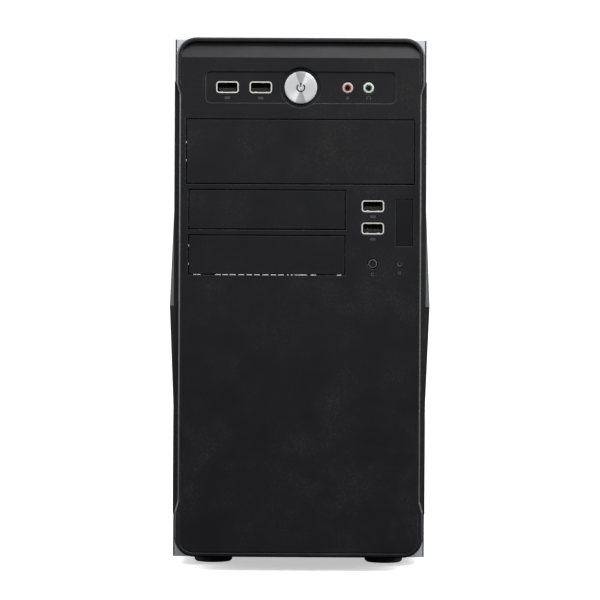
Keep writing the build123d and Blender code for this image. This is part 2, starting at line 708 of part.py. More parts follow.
with BuildPart() as power_supply_case:
    supply_x = (-supply_w / 2, supply_w / 2)
    supply_zs = around(supply_z, supply_h)
    block(supply_x, supply_y, supply_zs)
    block(
        (supply_x[0] + supply_wall, supply_x[1] - supply_wall),
        (supply_y[0] + supply_wall, supply_y[1] - supply_wall),
        (supply_zs[0] + supply_wall, supply_zs[1] - supply_wall),
        Mode.SUBTRACT,
    )
    back_y = (supply_y[1] - supply_wall, supply_y[1])
    rod_y(supply_fan_x, back_y, supply_z, supply_fan_r, Mode.SUBTRACT)
    for open_w, open_z, open_h in (
        (inlet_body_w, inlet_z, inlet_body_h),
        (rocker_frame_w, rocker_z, rocker_frame_h),
    ):
        block(around(inlet_x, open_w + 2 * fit), back_y, around(open_z, open_h + 2 * fit), Mode.SUBTRACT)
    for x, z in supply_screws:
        rod_y(x, back_y, z, screw_hole_r, Mode.SUBTRACT)
    front_wall_y = (supply_y[0], supply_y[0] + supply_wall)
    rod_y(loom_x, front_wall_y, loom_z, loom_r + fit, Mode.SUBTRACT)
    with BuildSketch(front_plane(supply_y[0])):
        with Locations((supply_vent_x, supply_z)):
            with GridLocations(0, supply_vent_pitch, 1, supply_vents):
                SlotOverall(supply_vent_l, supply_vent_pitch / 2)
    extrude(amount=-supply_wall, mode=Mode.SUBTRACT)
    bar_y = (back_y[0] - supply_fan_t - supply_bar_t, back_y[0] - supply_fan_t)
    block(around(supply_fan_x, 2 * strut_w), bar_y, (supply_zs[0] + supply_wall, supply_zs[1] - supply_wall))
    rod_y(supply_fan_x, bar_y, supply_z, hub_r)
    supply_rotor_l = supply_fan_t - 2 * axial_gap - 1.0
    supply_pin_l = axial_gap + supply_rotor_l - hub_cap_t - pin_end_gap
    rod_y(supply_fan_x, (bar_y[1], bar_y[1] + supply_pin_l), supply_z, pin_r)
save(power_supply_case, "power_supply_case")

supply_rotor_plane = Plane(
    origin=(supply_fan_x, bar_y[1] + axial_gap, supply_z), x_dir=(1, 0, 0), z_dir=(0, 1, 0)
)
supply_fan_shape = fan_rotor(supply_fan_r - 1.5, hub_r, supply_rotor_l, blade_count, pin_r + run_fit)
with BuildPart() as power_supply_fan:
    with Locations(supply_rotor_plane):
        add(supply_fan_shape.part)
save(power_supply_fan, "power_supply_fan")

guard_wire = 1.6
guard_rings = (supply_fan_r, 28.0, 20.0, 12.0)
with BuildPart() as power_supply_guard:
    with BuildSketch(front_plane(inner_rear_y + guard_wire)):
        with Locations((supply_fan_x, supply_z)):
            for ring_r in guard_rings:
                Circle(ring_r)
                Circle(ring_r - guard_wire, mode=Mode.SUBTRACT)
    extrude(amount=guard_wire)
    with Locations(Location((supply_fan_x, inner_rear_y + guard_wire / 2, supply_z), (0, 45, 0))):
        Box(2 * supply_fan_r - guard_wire, guard_wire, guard_wire)
        Box(guard_wire, guard_wire, 2 * supply_fan_r - guard_wire)
save(power_supply_guard, "power_supply_guard")

rocker_r = rocker_w / 2
rocker_depth = 6.0
rocker_tilt = 12.0
rocker_y = inner_rear_y - rocker_depth
inlet_plate_t = 1.5
inlet_cavity = 15.0
inlet_depth = 18.0
inlet_wall_w = 1.5
inlet_wall_h = 2.0
inlet_pin = (2.0, inlet_cavity - 2.0, 4.0)
inlet_pins = ((-7.0, -2.0), (0.0, 2.5), (7.0, -2.0))

with BuildPart() as mains_inlet:
    plate_y = (inner_rear_y, inner_rear_y + inlet_plate_t)
    block(around(inlet_x, inlet_plate_w), plate_y, around(mid((inlet_z, rocker_z)), inlet_plate_h))
    fillet(mains_inlet.edges().filter_by(Axis.Y), 2.0)
    inlet_y = (inner_rear_y - inlet_depth, inner_rear_y)
    block(around(inlet_x, inlet_body_w), inlet_y, around(inlet_z, inlet_body_h))
    cavity_y = (plate_y[1] - inlet_cavity, plate_y[1])
    cavity_w = inlet_body_w - 2 * inlet_wall_w
    cavity_h = inlet_body_h - 2 * inlet_wall_h
    block(around(inlet_x, cavity_w), cavity_y, around(inlet_z, cavity_h), Mode.SUBTRACT)
    with Locations(*[(inlet_x + x, cavity_y[0] + inlet_pin[1] / 2, inlet_z + z) for x, z in inlet_pins]):
        Box(*inlet_pin)
    rocker_box_y = (rocker_y - rocker_r - 2.0, inner_rear_y)
    block(around(inlet_x, rocker_frame_w), rocker_box_y, around(rocker_z, rocker_frame_h))
    rocker_hole_y = (rocker_y - rocker_r - slip, plate_y[1])
    hole_w = rocker_w + 2 * slip
    hole_h = rocker_h + 2 * slip
    block(around(inlet_x, hole_w), rocker_hole_y, around(rocker_z, hole_h), Mode.SUBTRACT)
save(mains_inlet, "mains_inlet")

with BuildPart() as mains_rocker:
    rod_z(inlet_x, rocker_y, around(rocker_z, rocker_h), rocker_r)
    for side in (-1, 1):
        face_turn = side * rocker_tilt
        with Locations(Location((inlet_x, rocker_y, rocker_z), (0, 0, face_turn + rocker_tilt))):
            with Locations((side * rocker_w / 2, rocker_depth + 1.5 + rocker_w / 2, 0)):
                Box(rocker_w, rocker_w, rocker_h + 1.0, mode=Mode.SUBTRACT)
save(mains_rocker, "mains_rocker")

# ---------------------------------------------------------------- hard drive
drive_socket_in = 22.0
drive_socket_x = drive_x[0] + drive_socket_in
drive_socket_w = 24.0
drive_socket_d = 5.0
drive_socket_h = 6.0
with BuildPart() as hard_drive:
    block(drive_x, drive_y, drive_z)
    fillet(hard_drive.edges().filter_by(Axis.Z), 2.0)
    drive_edge = 0.8
    chamfer(hard_drive.faces().sort_by(Axis.Z)[-1].edges(), drive_edge)
    for y in drive_screw_ys:
        rod_x((drive_x[0], drive_x[0] + screw_l), y, drive_screw_z, screw_shank_r, Mode.SUBTRACT)
        rod_x((drive_x[1] - screw_l, drive_x[1]), y, drive_screw_z, screw_shank_r, Mode.SUBTRACT)
    socket_y = (drive_y[1] - drive_socket_d, drive_y[1])
    socket_z = (drive_z[0], drive_z[0] + drive_socket_h)
    block(around(drive_socket_x, drive_socket_w), socket_y, socket_z, Mode.SUBTRACT)
save(hard_drive, "hard_drive")

# ---------------------------------------------------------------- screws
with BuildPart() as case_screws:
    rear_screws = supply_screws + fan_screws + [(slot_screw_x, z) for z in slot_heights]
    with Locations(*[Plane(origin=(x, rear_y, z), z_dir=(0, 1, 0)) for x, z in rear_screws]):
        add(screw.part)
    for x, way in ((-cage_x - sheet, -1), (cage_inner_x + sheet, 1)):
        with Locations(*[Plane(origin=(x, y, drive_screw_z), z_dir=(way, 0, 0)) for y in drive_screw_ys]):
            add(screw.part)
    with Locations(*[Plane(origin=(board_face, y, z), z_dir=(-1, 0, 0)) for y, z in standoff_points]):
        add(screw.part)
save(case_screws, "case_screws")

# ---------------------------------------------------------------- front bezel sizes
corner_r = 13.0
rim = 2.6                 # rounded rim standing round the front plate
rim_bevel = 1.0
groove_w = 0.8
groove_t = 0.8
vent_inset = 2.0          # how far the plate edge steps in beside the side grilles
vent_taper = 7.0
vent_z = (bezel_z + 30.0, bezel_top - 30.5)
vent_full_z = (vent_z[0] + vent_taper, vent_z[1] - vent_taper)
vent_x = bezel_w / 2 - vent_inset
crease_drop, slope_drop = 13.2, 5.5
crease_z = bezel_top - crease_drop
slope_top_z = bezel_top - slope_drop
slope_t = 3.0
recess_t = 0.8
recess_w = 125.3
recess_h = 20.9
recess_corner = 3.3
button_r = 10.7
button_hole_r = button_r + slip
button_ring_r = 13.4
button_ring_t = 2.0
usb_w = 14.4
usb_h = 7.3
usb_shell_t = 0.4
usb_corner = 2.0
usb_gap = 0.5
tongue_w = 11.6
tongue_t = 1.9
tongue_drop = 1.2
tongue_back_t = 2.0
tongue_set_back = 2.4
top_usb_xs = (-48.4, -26.4)
side_usb_zs = (mid(upper_bay_z) + 2.65, mid(upper_bay_z) - 12.05)
jack_r = 3.55
jack_bore_r = 1.8
jack_bore_l = 14.0
jack_xs = {"microphone_jack": 31.0, "headphone_jack": 44.8}
badge_x = 68.8
badge_drop = 8.25
badge_z = mid(upper_bay_z) - badge_drop
badge_w = 11.4
badge_h = 31.3
badge_t = 1.2
reset_drop = 5.4
reset_z = mid(lower_bay_z) - reset_drop
reset_r = 3.3
lamp_x = 65.8
lamp_r = 1.2
port_set_back, port_board_set = 0.4, 15.0
port_front_y = face_y + port_set_back
port_board_y = face_y + port_board_set
port_board_t = 1.6
port_board_h = 16.0
tunnel_t = 2.0
tunnel_y = (face_y + plate, face_y + 14.0)
barb_reach = 1.0
cavity_x = vent_x - wall
post_w = 2.4
top_post_xs = (-57.0, -14.5, 23.5, 54.0)
side_post_points = ((side_ports_x - 9.2, side_usb_zs[0] - 7.0), (side_ports_x + 12.0, side_usb_zs[1] - 12.0))
grille_overhang = 1.5
grille_x = bezel_w / 2 + grille_overhang
grille_y = (face_y + 6.0, front_y - 0.5)
grille_wall = 1.5
louvre_pitch = 5.0
louvre_h = 2.6
window_y = (face_y + 14.0, front_y - 10.0)


def bezel_outline(inset, mode=Mode.ADD):
    """Rounded outline of the bezel, moved in by the given inset."""
    with Locations((0, bezel_mid)):
        RectangleRounded(bezel_w - 2 * inset, bezel_h - 2 * inset, corner_r - inset, mode=mode)


# Wedge in front of the band that slopes back along the top of the plate.
with BuildPart() as slope_cutter:
    with BuildSketch(front_plane(face_y + slope_t)):
        bezel_outline(rim)
    extrude(amount=slope_t + 1.0)
    with BuildSketch(side_plane(-bezel_w / 2)):
        Polygon(
            (face_y - 1.0, crease_z),
            (face_y, crease_z),
            (face_y + slope_t, slope_top_z),
            (face_y + slope_t, bezel_top),
            (face_y - 1.0, bezel_top),
            align=None,
        )
    extrude(amount=bezel_w, mode=Mode.INTERSECT)

# ---------------------------------------------------------------- front bezel
clip_root = 0.5           # how far a clip bracket runs into the wall
clip_tail = 5.0
barb_l = 3.0
bracket_y = (front_y - 8.0, front_y - 4.0)
with BuildPart() as front_bezel:
    with BuildSketch(front_plane(front_y)):
        bezel_outline(0)
        for side in (-1, 1):
            Polygon(
                (side * (bezel_w / 2 + 1.0), vent_z[0]),
                (side * bezel_w / 2, vent_z[0]),
                (side * vent_x, vent_full_z[0]),
                (side * vent_x, vent_full_z[1]),
                (side * bezel_w / 2, vent_z[1]),
                (side * (bezel_w / 2 + 1.0), vent_z[1]),
                align=None,
                mode=Mode.SUBTRACT,
            )
    extrude(amount=bezel_d)
    chamfer(front_bezel.faces().sort_by(Axis.Y)[0].outer_wire().edges(), rim_bevel)
    add(slope_cutter.part, mode=Mode.SUBTRACT)
    # Hollow behind the plate, stepped back behind the sloping band.
    cavity_step_z = crease_z - plate
    block((-cavity_x, cavity_x), (face_y + plate, front_y), (bezel_z + wall, cavity_step_z), Mode.SUBTRACT)
    upper_cavity_x = (wall - cavity_x, cavity_x - wall)
    upper_cavity_y = (face_y + plate + slope_t, front_y)
    block(upper_cavity_x, upper_cavity_y, (cavity_step_z, bezel_top - wall), Mode.SUBTRACT)
    # Groove between the rim and the plate, which stops at the side grilles.
    with BuildSketch(front_plane(face_y)):
        bezel_outline(rim)
        bezel_outline(rim + groove_w, Mode.SUBTRACT)
        with Locations((0, mid(vent_full_z))):
            Rectangle(bezel_w + 2.0, vent_z[1] - vent_z[0], mode=Mode.SUBTRACT)
    extrude(amount=-groove_t, mode=Mode.SUBTRACT)
    # Walls round the bays, posts for the port boards, and the snap arms.
    for bay_x, bay_z in bays:
        block(
            (bay_x[0] - tunnel_t, bay_x[1] + tunnel_t),
            tunnel_y,
            (bay_z[0] - tunnel_t, bay_z[1] + tunnel_t),
        )
    for x in top_post_xs:
        block(around(x, post_w), (face_y + plate, port_board_y), around(top_ports_z, 2 * post_w))
    for x, z in side_post_points:
        block(around(x, post_w), (face_y + plate, port_board_y), around(z, 2 * post_w))
    for z in clip_zs:
        for side in (-1, 1):
            bracket_x = sorted((side * (clip_x - clip_t), side * (cavity_x + clip_root)))
            block(bracket_x, bracket_y, around(z, clip_w))
            arm_x = sorted((side * (clip_x - clip_t), side * clip_x))
            block(arm_x, (bracket_y[1], inner_front_y + clip_tail), around(z, clip_w))
            barb_x = sorted((side * (clip_x - clip_t), side * (clip_x + barb_reach)))
            block(barb_x, (inner_front_y + fit, inner_front_y + barb_l), around(z, clip_w))
    for bay_x, bay_z in bays:
        block(bay_x, (face_y, tunnel_y[1]), bay_z, Mode.SUBTRACT)
    # Recess of the top ports, and the deeper ring round the power button.
    with BuildSketch(front_plane(face_y)):
        with Locations((0, top_ports_z)):
            RectangleRounded(recess_w, recess_h, recess_corner)
    extrude(amount=-recess_t, mode=Mode.SUBTRACT)
    rod_y(0, (face_y, face_y + button_ring_t), top_ports_z, button_ring_r, Mode.SUBTRACT)
    # Holes through the plate.
    with BuildSketch(front_plane(face_y)):
        with Locations((0, top_ports_z)):
            Circle(button_hole_r)
        usb_places = [(x, top_ports_z) for x in top_usb_xs] + [(side_ports_x, z) for z in side_usb_zs]
        with Locations(*usb_places):
            RectangleRounded(usb_w + 2 * usb_gap, usb_h + 2 * usb_gap, usb_corner + usb_gap)
        with Locations(*[(x, top_ports_z) for x in jack_xs.values()]):
            Circle(jack_r + fit)
        with Locations((side_ports_x, reset_z)):
            Circle(reset_r + slip)
        with Locations((lamp_x, reset_z)):
            Circle(lamp_r + run_fit)
    extrude(amount=-plate, mode=Mode.SUBTRACT)
    badge_recess_y = (face_y, face_y + badge_t + slip)
    block(around(badge_x, badge_w), badge_recess_y, around(badge_z, badge_h), Mode.SUBTRACT)
    # Air windows behind the side grilles.
    for side in (-1, 1):
        window_x = sorted((side * (cavity_x - 1.0), side * (vent_x + 1.0)))
        block(window_x, window_y, (vent_full_z[0] + 6.0, clip_zs[1] - 10.0), Mode.SUBTRACT)
        block(window_x, window_y, (clip_zs[1] + 10.0, lower_bay_z[0] - 8.0), Mode.SUBTRACT)
save(front_bezel, "front_bezel")

for side, grille_name in ((-1, "left_side_grille"), (1, "right_side_grille")):
    with BuildPart() as side_grille:
        with BuildSketch(front_plane(grille_y[1])):
            Polygon(
                (side * vent_x, vent_full_z[0] + fit),
                (side * grille_x, vent_z[0] - 2.0),
                (side * grille_x, vent_z[1] + 2.0),
                (side * vent_x, vent_full_z[1] - fit),
                align=None,
            )
        extrude(amount=grille_y[1] - grille_y[0])
        pocket_x = sorted((side * vent_x, side * (grille_x - grille_wall)))
        pocket_y = (grille_y[0] + grille_wall, grille_y[1] - grille_wall)
        block(pocket_x, pocket_y, (vent_full_z[0] + 2.0, vent_full_z[1] - 2.0), Mode.SUBTRACT)
        with BuildSketch(side_plane(0)):
            with Locations((mid(grille_y), mid(vent_full_z))):
                vent_margin = 8.0
                louvre_count = int((vent_full_z[1] - vent_full_z[0] - vent_margin) / louvre_pitch)
                with GridLocations(0, louvre_pitch, 1, louvre_count):
                    Rectangle(grille_y[1] - grille_y[0] - 7.0, louvre_h)
        extrude(amount=side * (grille_x + 1.0), mode=Mode.SUBTRACT)
    save(side_grille, grille_name)

# ---------------------------------------------------------------- bay covers
cover_face_t = 2.2
cover_wall = 1.4
cover_skirt_y = (face_y + cover_face_t, face_y + 12.0)
catch_reach = cover_gap - run_fit
catch_w = 1.6
catch_l = 3.0
catch_offsets = (-6.0, 6.0)
for cover_name, (bay_x, bay_z) in zip(("bay_cover_large", "bay_cover_upper", "bay_cover_lower"), bays):
    with BuildPart() as bay_cover:
        cover_x = (bay_x[0] + cover_gap, bay_x[1] - cover_gap)
        cover_z = (bay_z[0] + cover_gap, bay_z[1] - cover_gap)
        block(cover_x, (face_y, cover_face_t + face_y), cover_z)
        chamfer(bay_cover.faces().sort_by(Axis.Y)[0].edges(), 0.3)
        block(cover_x, cover_skirt_y, cover_z)
        hollow_x = (cover_x[0] + cover_wall, cover_x[1] - cover_wall)
        hollow_z = (cover_z[0] + cover_wall, cover_z[1] - cover_wall)
        block(hollow_x, cover_skirt_y, hollow_z, Mode.SUBTRACT)
        catch_x = (cover_x[0] - catch_reach, cover_x[0] + cover_wall)
        for offset in catch_offsets:
            catch_y = (cover_skirt_y[0], cover_skirt_y[0] + catch_l)
            block(catch_x, catch_y, around(mid(bay_z) + offset, catch_w))
    save(bay_cover, cover_name)

# ---------------------------------------------------------------- power and reset buttons
button_cap_t = 2.0
button_sink = 0.3
button_edge = 0.6
button_step = 0.4
carrier_t = 4.0
housing_wall = 1.6
housing_floor_t = 1.5
plunger_l = 3.5
button_face_y = face_y + button_sink
button_travel = 2.0
button_back_y = port_board_y + 0.5
switch_w = 12.0
switch_t = 8.0
plunger_r = 1.6
stem_r = 3.0

with BuildPart() as power_button:
    rod_y(0, (button_face_y, button_face_y + button_cap_t), top_ports_z, button_r)
    chamfer(power_button.edges().filter_by(GeomType.CIRCLE).sort_by(Axis.Y)[0], button_edge)
save(power_button, "power_button")

with BuildPart() as power_button_carrier:
    carrier_y = button_face_y + button_cap_t
    stem_y = (carrier_y + carrier_t, button_back_y - button_travel - slip)
    rod_y(0, (carrier_y, stem_y[0]), top_ports_z, button_r - button_step)
    rod_y(0, stem_y, top_ports_z, stem_r)
    rod_y(0, (stem_y[1], button_back_y + plunger_l), top_ports_z, plunger_r)
save(power_button_carrier, "power_button_carrier")

with BuildPart() as button_housing:
    housing_floor_y = button_back_y - housing_floor_t
    rod_y(0, (face_y + plate, button_back_y), top_ports_z, button_hole_r + housing_wall)
    rod_y(0, (face_y + plate, housing_floor_y), top_ports_z, button_hole_r, Mode.SUBTRACT)
    rod_y(0, (housing_floor_y, button_back_y), top_ports_z, stem_r + slip, Mode.SUBTRACT)
save(button_housing, "button_housing")

reset_travel = 1.2
reset_switch_w, reset_switch_t = 6.0, 5.0
reset_switch_y = (port_board_y - reset_switch_t, port_board_y)
reset_plunger_r = 1.3
reset_plunger_in = 1.5
reset_collar = 1.2
reset_edge = 0.6
reset_collar_y = (face_y + plate + slip, face_y + plate + slip + reset_collar)
with BuildPart() as reset_button:
    rod_y(side_ports_x, (face_y, reset_collar_y[0]), reset_z, reset_r)
    fillet(reset_button.edges().filter_by(GeomType.CIRCLE).sort_by(Axis.Y)[0], reset_edge)
    rod_y(side_ports_x, reset_collar_y, reset_z, reset_r + reset_collar)
    rod_y(side_ports_x, (reset_collar_y[1], reset_switch_y[0] + reset_plunger_in), reset_z, reset_plunger_r)
save(reset_button, "reset_button")

with BuildPart() as button_switches:
    switch_y = (button_back_y, button_back_y + switch_t)
    block(around(0, switch_w), switch_y, around(top_ports_z, switch_w))
    plunger_hole_y = (button_back_y, button_back_y + 3.5 + button_travel + slip)
    rod_y(0, plunger_hole_y, top_ports_z, plunger_r + slip, Mode.SUBTRACT)
    block(around(side_ports_x, reset_switch_w), reset_switch_y, around(reset_z, reset_switch_w))
    reset_hole_y = (reset_switch_y[0], reset_switch_y[0] + 1.5 + reset_travel + slip)
    rod_y(side_ports_x, reset_hole_y, reset_z, reset_plunger_r + slip, Mode.SUBTRACT)
save(button_switches, "button_switches")

with BuildPart() as activity_lamp:
    rod_y(lamp_x, (face_y + 0.2, face_y + plate), reset_z, lamp_r)
    rod_y(lamp_x, (face_y + plate, port_board_y), reset_z, 2 * lamp_r)
save(activity_lamp, "activity_lamp")

with BuildPart() as blank_badge:
    badge_y = (face_y + slip, face_y + slip + badge_t)
    block(around(badge_x, badge_w - fit), badge_y, around(badge_z, badge_h - fit))
    chamfer(blank_badge.faces().sort_by(Axis.Y)[0].edges(), 0.3)
save(blank_badge, "blank_badge")


# ---------------------------------------------------------------- front sockets
def usb_shells(name, places):
    """Thin metal shells of the USB sockets at the given X, Z places."""
    with BuildPart() as shells:
        with BuildSketch(front_plane(port_board_y)):
            with Locations(*places):
                RectangleRounded(usb_w, usb_h, usb_corner)
                RectangleRounded(
                    usb_w - 2 * usb_shell_t,
                    usb_h - 2 * usb_shell_t,
                    usb_corner - usb_shell_t,
                    mode=Mode.SUBTRACT,
                )
        extrude(amount=port_board_y - port_front_y)
    save(shells, name)


usb_shells("top_usb_shells", usb_places[:2])
usb_shells("side_usb_shells", usb_places[2:])

with BuildPart() as usb_tongues:
    with BuildSketch(front_plane(port_board_y)):
        with Locations(*usb_places):
            RectangleRounded(
                usb_w - 2 * (usb_shell_t + run_fit),
                usb_h - 2 * (usb_shell_t + run_fit),
                usb_corner - usb_shell_t - run_fit,
            )
    extrude(amount=tongue_back_t)
    for x, z in usb_places:
        tongue_y = (face_y + tongue_set_back, port_board_y - tongue_back_t)
        block(around(x, tongue_w), tongue_y, around(z - tongue_drop, tongue_t))
save(usb_tongues, "usb_tongues")

jack_body = 9.0
jack_edge = 0.6
jack_nose = 4.5
jack_body_y = (face_y + jack_nose, port_board_y)
for jack_name, x in jack_xs.items():
    with BuildPart() as jack:
        rod_y(x, (port_front_y, jack_body_y[0]), top_ports_z, jack_r)
        fillet(jack.edges().filter_by(GeomType.CIRCLE).sort_by(Axis.Y)[0], jack_edge)
        block(around(x, jack_body), jack_body_y, around(top_ports_z, jack_body))
        rod_y(x, (port_front_y, port_front_y + jack_bore_l), top_ports_z, jack_bore_r, Mode.SUBTRACT)
    save(jack, jack_name)

board_back_y = port_board_y + port_board_t
with BuildPart() as top_port_boards:
    usb_board_x = (top_post_xs[0] - post_w, top_post_xs[1] + post_w / 2)
    jack_board_x = (top_post_xs[2] - post_w / 2, top_post_xs[3] + post_w)
    for board_span in (usb_board_x, jack_board_x):
        block(board_span, (port_board_y, board_back_y), around(top_ports_z, port_board_h))
save(top_port_boards, "top_port_boards")

with BuildPart() as side_port_board:
    board_span_x = (side_post_points[0][0] - post_w, lamp_x + 5.0)
    block(board_span_x, (port_board_y, board_back_y), (reset_z - 8.0, side_usb_zs[0] + 8.0))
save(side_port_board, "side_port_board")

# ---------------------------------------------------------------- side panels
bulge_t = 7.0
bulge_rise, bulge_set, bulge_l = 169.5, 109.7, 211.0
bulge_z = floor_z + bulge_rise
bulge_front_y = face_y + bulge_set
bulge_rear_y = bulge_front_y + bulge_l
bulge_half_h = 120.0
bulge_lean = 0.71         # rearward run of the slanting edges for each unit of height
bulge_slope_w = 10.0
panel_flange_w = 11.0
panel_vent_pitch = 8.0


def bulge_hexagon(grow):
    """Long hexagon of the pressing in the Y-Z plane, grown outward by the given width."""
    run = bulge_lean * bulge_half_h
    Polygon(
        (bulge_front_y - 1.3 * grow, bulge_z),
        (bulge_front_y + run - 0.5 * grow, bulge_z + bulge_half_h + grow),
        (bulge_rear_y - run + 0.5 * grow, bulge_z + bulge_half_h + grow),
        (bulge_rear_y + 1.3 * grow, bulge_z),
        (bulge_rear_y - run + 0.5 * grow, bulge_z - bulge_half_h - grow),
        (bulge_front_y + run - 0.5 * grow, bulge_z - bulge_half_h - grow),
        align=None,
    )


for side, panel_name in ((-1, "left_panel"), (1, "right_panel")):
    with BuildPart() as side_panel:
        block(sorted((side * skin_inner_x, side * skin_x)), (front_y, rear_y + sheet), (floor_z, roof_z))
        with BuildSketch(side_plane(side * skin_x)):
            bulge_hexagon(bulge_slope_w)
        with BuildSketch(side_plane(side * (skin_x + bulge_t))):
            bulge_hexagon(0)
        loft()
        with BuildSketch(side_plane(side * skin_inner_x)):
            bulge_hexagon(bulge_slope_w)
        with BuildSketch(side_plane(side * (skin_inner_x + bulge_t))):
            bulge_hexagon(0)
        loft(mode=Mode.SUBTRACT)
        flange_span = sorted((side * (skin_x - panel_flange_w), side * skin_x))
        block(flange_span, (rear_y, rear_y + sheet), (floor_z, roof_z))
        leg_x = sorted((side * rail_x[0], side * skin_inner_x))
        lip_x = sorted((side * rail_x[0], side * rail_x[1]))
        block(leg_x, rail_y, (upper_rail_z, upper_rail_z + sheet))
        block(lip_x, rail_y, (upper_rail_z, upper_rail_z + sheet + rail_lip_h))
        block(leg_x, rail_y, (lower_rail_z, lower_rail_z + sheet))
        block(lip_x, rail_y, (lower_rail_z - rail_lip_h, lower_rail_z + sheet))
        for z in thumb_zs.values():
            rod_y(side * thumb_x, (rear_y, rear_y + sheet), z, thumb_shank_r + fit, Mode.SUBTRACT)
        if side < 0:
            with BuildSketch(side_plane(-skin_inner_x)):
                with Locations((mid((bulge_front_y, bulge_rear_y)) + 16.0, bulge_z + 14.0)):
                    with GridLocations(panel_vent_pitch, panel_vent_pitch, 9, 9):
                        Circle(2.2)
            extrude(amount=-bulge_t - 1.0, mode=Mode.SUBTRACT)
    save(side_panel, panel_name)

# ---------------------------------------------------------------- captive thumbscrews
knurl_count = 20
for side, side_name in ((-1, "left"), (1, "right")):
    for level, z in thumb_zs.items():
        with BuildPart() as thumbscrew:
            thumb_y = rear_y + sheet
            with BuildSketch(Plane(origin=(side * thumb_x, thumb_y, z), x_dir=(1, 0, 0), z_dir=(0, 1, 0))):
                Circle(thumb_head_r)
                with PolarLocations(thumb_head_r, knurl_count):
                    Circle(0.35, mode=Mode.SUBTRACT)
            extrude(amount=thumb_head_h)
            rod_y(side * thumb_x, (inner_rear_y - thumb_l + sheet, thumb_y), z, thumb_shank_r)
            with Locations((side * thumb_x, thumb_y + thumb_head_h, z)):
                Box(2 * thumb_head_r - 3.0, 3.0, 1.2, mode=Mode.SUBTRACT)
                Box(1.2, 3.0, 2 * thumb_head_r - 3.0, mode=Mode.SUBTRACT)
        save(thumbscrew, f"thumbscrew_{side_name}_{level}")


# ---------------------------------------------------------------- cables inside
def corner_radii(points):
    """Radius at each inner point of a route, as large as its two runs allow."""
    radii = []
    for before, corner, after in zip(points, points[1:], points[2:]):
        incoming = Vector(*corner) - Vector(*before)
        outgoing = Vector(*after) - Vector(*corner)
        half_turn = math.radians(incoming.get_angle(outgoing)) / 2
        radii.append(0.45 * min(incoming.length, outgoing.length) / math.tan(half_turn))
    return radii


def cable(points, radius):
    """Round cable along straight runs joined by tangent arcs."""
    with BuildPart() as lead:
        with BuildLine() as route:
            FilletPolyline(*points, radius=corner_radii(points))
        path = route.wires()[0]
        with BuildSketch(Plane(origin=points[0], z_dir=path % 0)):
            Circle(radius)
        sweep(path=path)
    print("cable volume", round(lead.part.volume), "of", round(math.pi * radius**2 * path.length))
    print("corner radii", [round(corner) for corner in corner_radii(points)])
    return lead


power_plug_x = (board_face - 15.0, board_face)
plug_drop, plug_l, plug_set, plug_w = 72.0, 52.0, 14.0, 10.0
power_plug_z = around(board_z[1] - plug_drop, plug_l)
power_plug_y = around(board_y[0] + plug_set, plug_w)
loom_route = [
    (loom_x, supply_y[0] + supply_wall, loom_z),
    (loom_x, supply_y[0] - 26.0, loom_z - 2.0),
    (-20.0, 14.0, loom_z - 24.0),
    (10.0, 11.0, loom_z - 52.0),
    (36.0, mid(power_plug_y), mid(power_plug_z) + 6.0),
    (power_plug_x[0], mid(power_plug_y), mid(power_plug_z)),
]
loom = cable(loom_route, loom_r)
with BuildPart() as supply_loom:
    add(loom.part)
    block(power_plug_x, power_plug_y, power_plug_z)
save(supply_loom, "supply_loom")

data_r = 2.0
data_x = drive_socket_x
data_plug_z = (drive_z[0] + 0.5, drive_z[0] + 5.5)
data_set, data_w, data_rise, data_l = 15.0, 7.0, 57.0, 16.0
data_socket_y = around(board_y[0] + data_set, data_w)
data_socket_z = around(board_z[0] + data_rise, data_l)
data_route = [
    (data_x, drive_y[1] + 7.0, mid(data_plug_z)),
    (data_x + 2.0, drive_y[1] + 28.0, mid(data_plug_z) - 3.0),
    (-24.0, 24.0, mid(data_plug_z) - 34.0),
    (8.0, 22.0, mid(data_plug_z) - 66.0),
    (38.0, 18.0, mid(data_socket_z) + 6.0),
    (board_face - 8.0, mid(data_socket_y), mid(data_socket_z)),
]
data_lead = cable(data_route, data_r)
with BuildPart() as drive_data_cable:
    add(data_lead.part)
    block(around(data_x, 22.0), (drive_y[1] - 4.5, drive_y[1] + 7.0), data_plug_z)
    block((board_face - 8.0, board_face), data_socket_y, data_socket_z)
save(drive_data_cable, "drive_data_cable")

lead_r = 2.2
header_x = (board_face - 6.0, board_face)
header_l, header_w = 12.0, 6.0
top_header_rise, side_header_rise = 26.0, 44.0
top_header_set, side_header_set = 10.0, 24.0
top_header_z = around(board_z[0] + top_header_rise, header_l)
side_header_z = around(board_z[0] + side_header_rise, header_l)
top_header_y = around(board_y[0] + top_header_set, header_w)
side_header_y = around(board_y[0] + side_header_set, header_w)
top_route = [
    (-20.0, board_back_y, top_ports_z),
    (-20.0, front_y - 14.0, top_ports_z),
    (0.0, inner_front_y + 2.0, top_ports_z - 1.0),
    (8.0, inner_front_y + 48.0, top_ports_z + 4.0),
    (12.0, inner_front_y + 104.0, top_ports_z - 3.0),
    (22.0, cage_y[1] + 2.0, top_ports_z - 8.0),
    (40.0, cage_y[1] + 8.0, top_ports_z - 48.0),
    (56.0, cage_y[1] + 6.0, top_ports_z - 96.0),
    (60.0, cage_y[1] + 8.0, 170.0),
    (59.0, cage_y[1] + 9.0, 115.0),
    (57.0, mid(top_header_y), 66.0),
    (header_x[0], mid(top_header_y), mid(top_header_z)),
]
side_route = [
    (side_ports_x + 6.0, board_back_y, mid(lower_bay_z)),
    (side_ports_x + 6.0, inner_front_y + 8.0, mid(lower_bay_z)),
    (46.0, inner_front_y + 56.0, mid(lower_bay_z) - 14.0),
    (47.0, inner_front_y + 104.0, mid(lower_bay_z) - 40.0),
    (44.0, cage_y[1] + 2.0, 124.0),
    (39.0, 2.0, 86.0),
    (47.0, 14.0, 58.0),
    (header_x[0], mid(side_header_y), mid(side_header_z)),
]
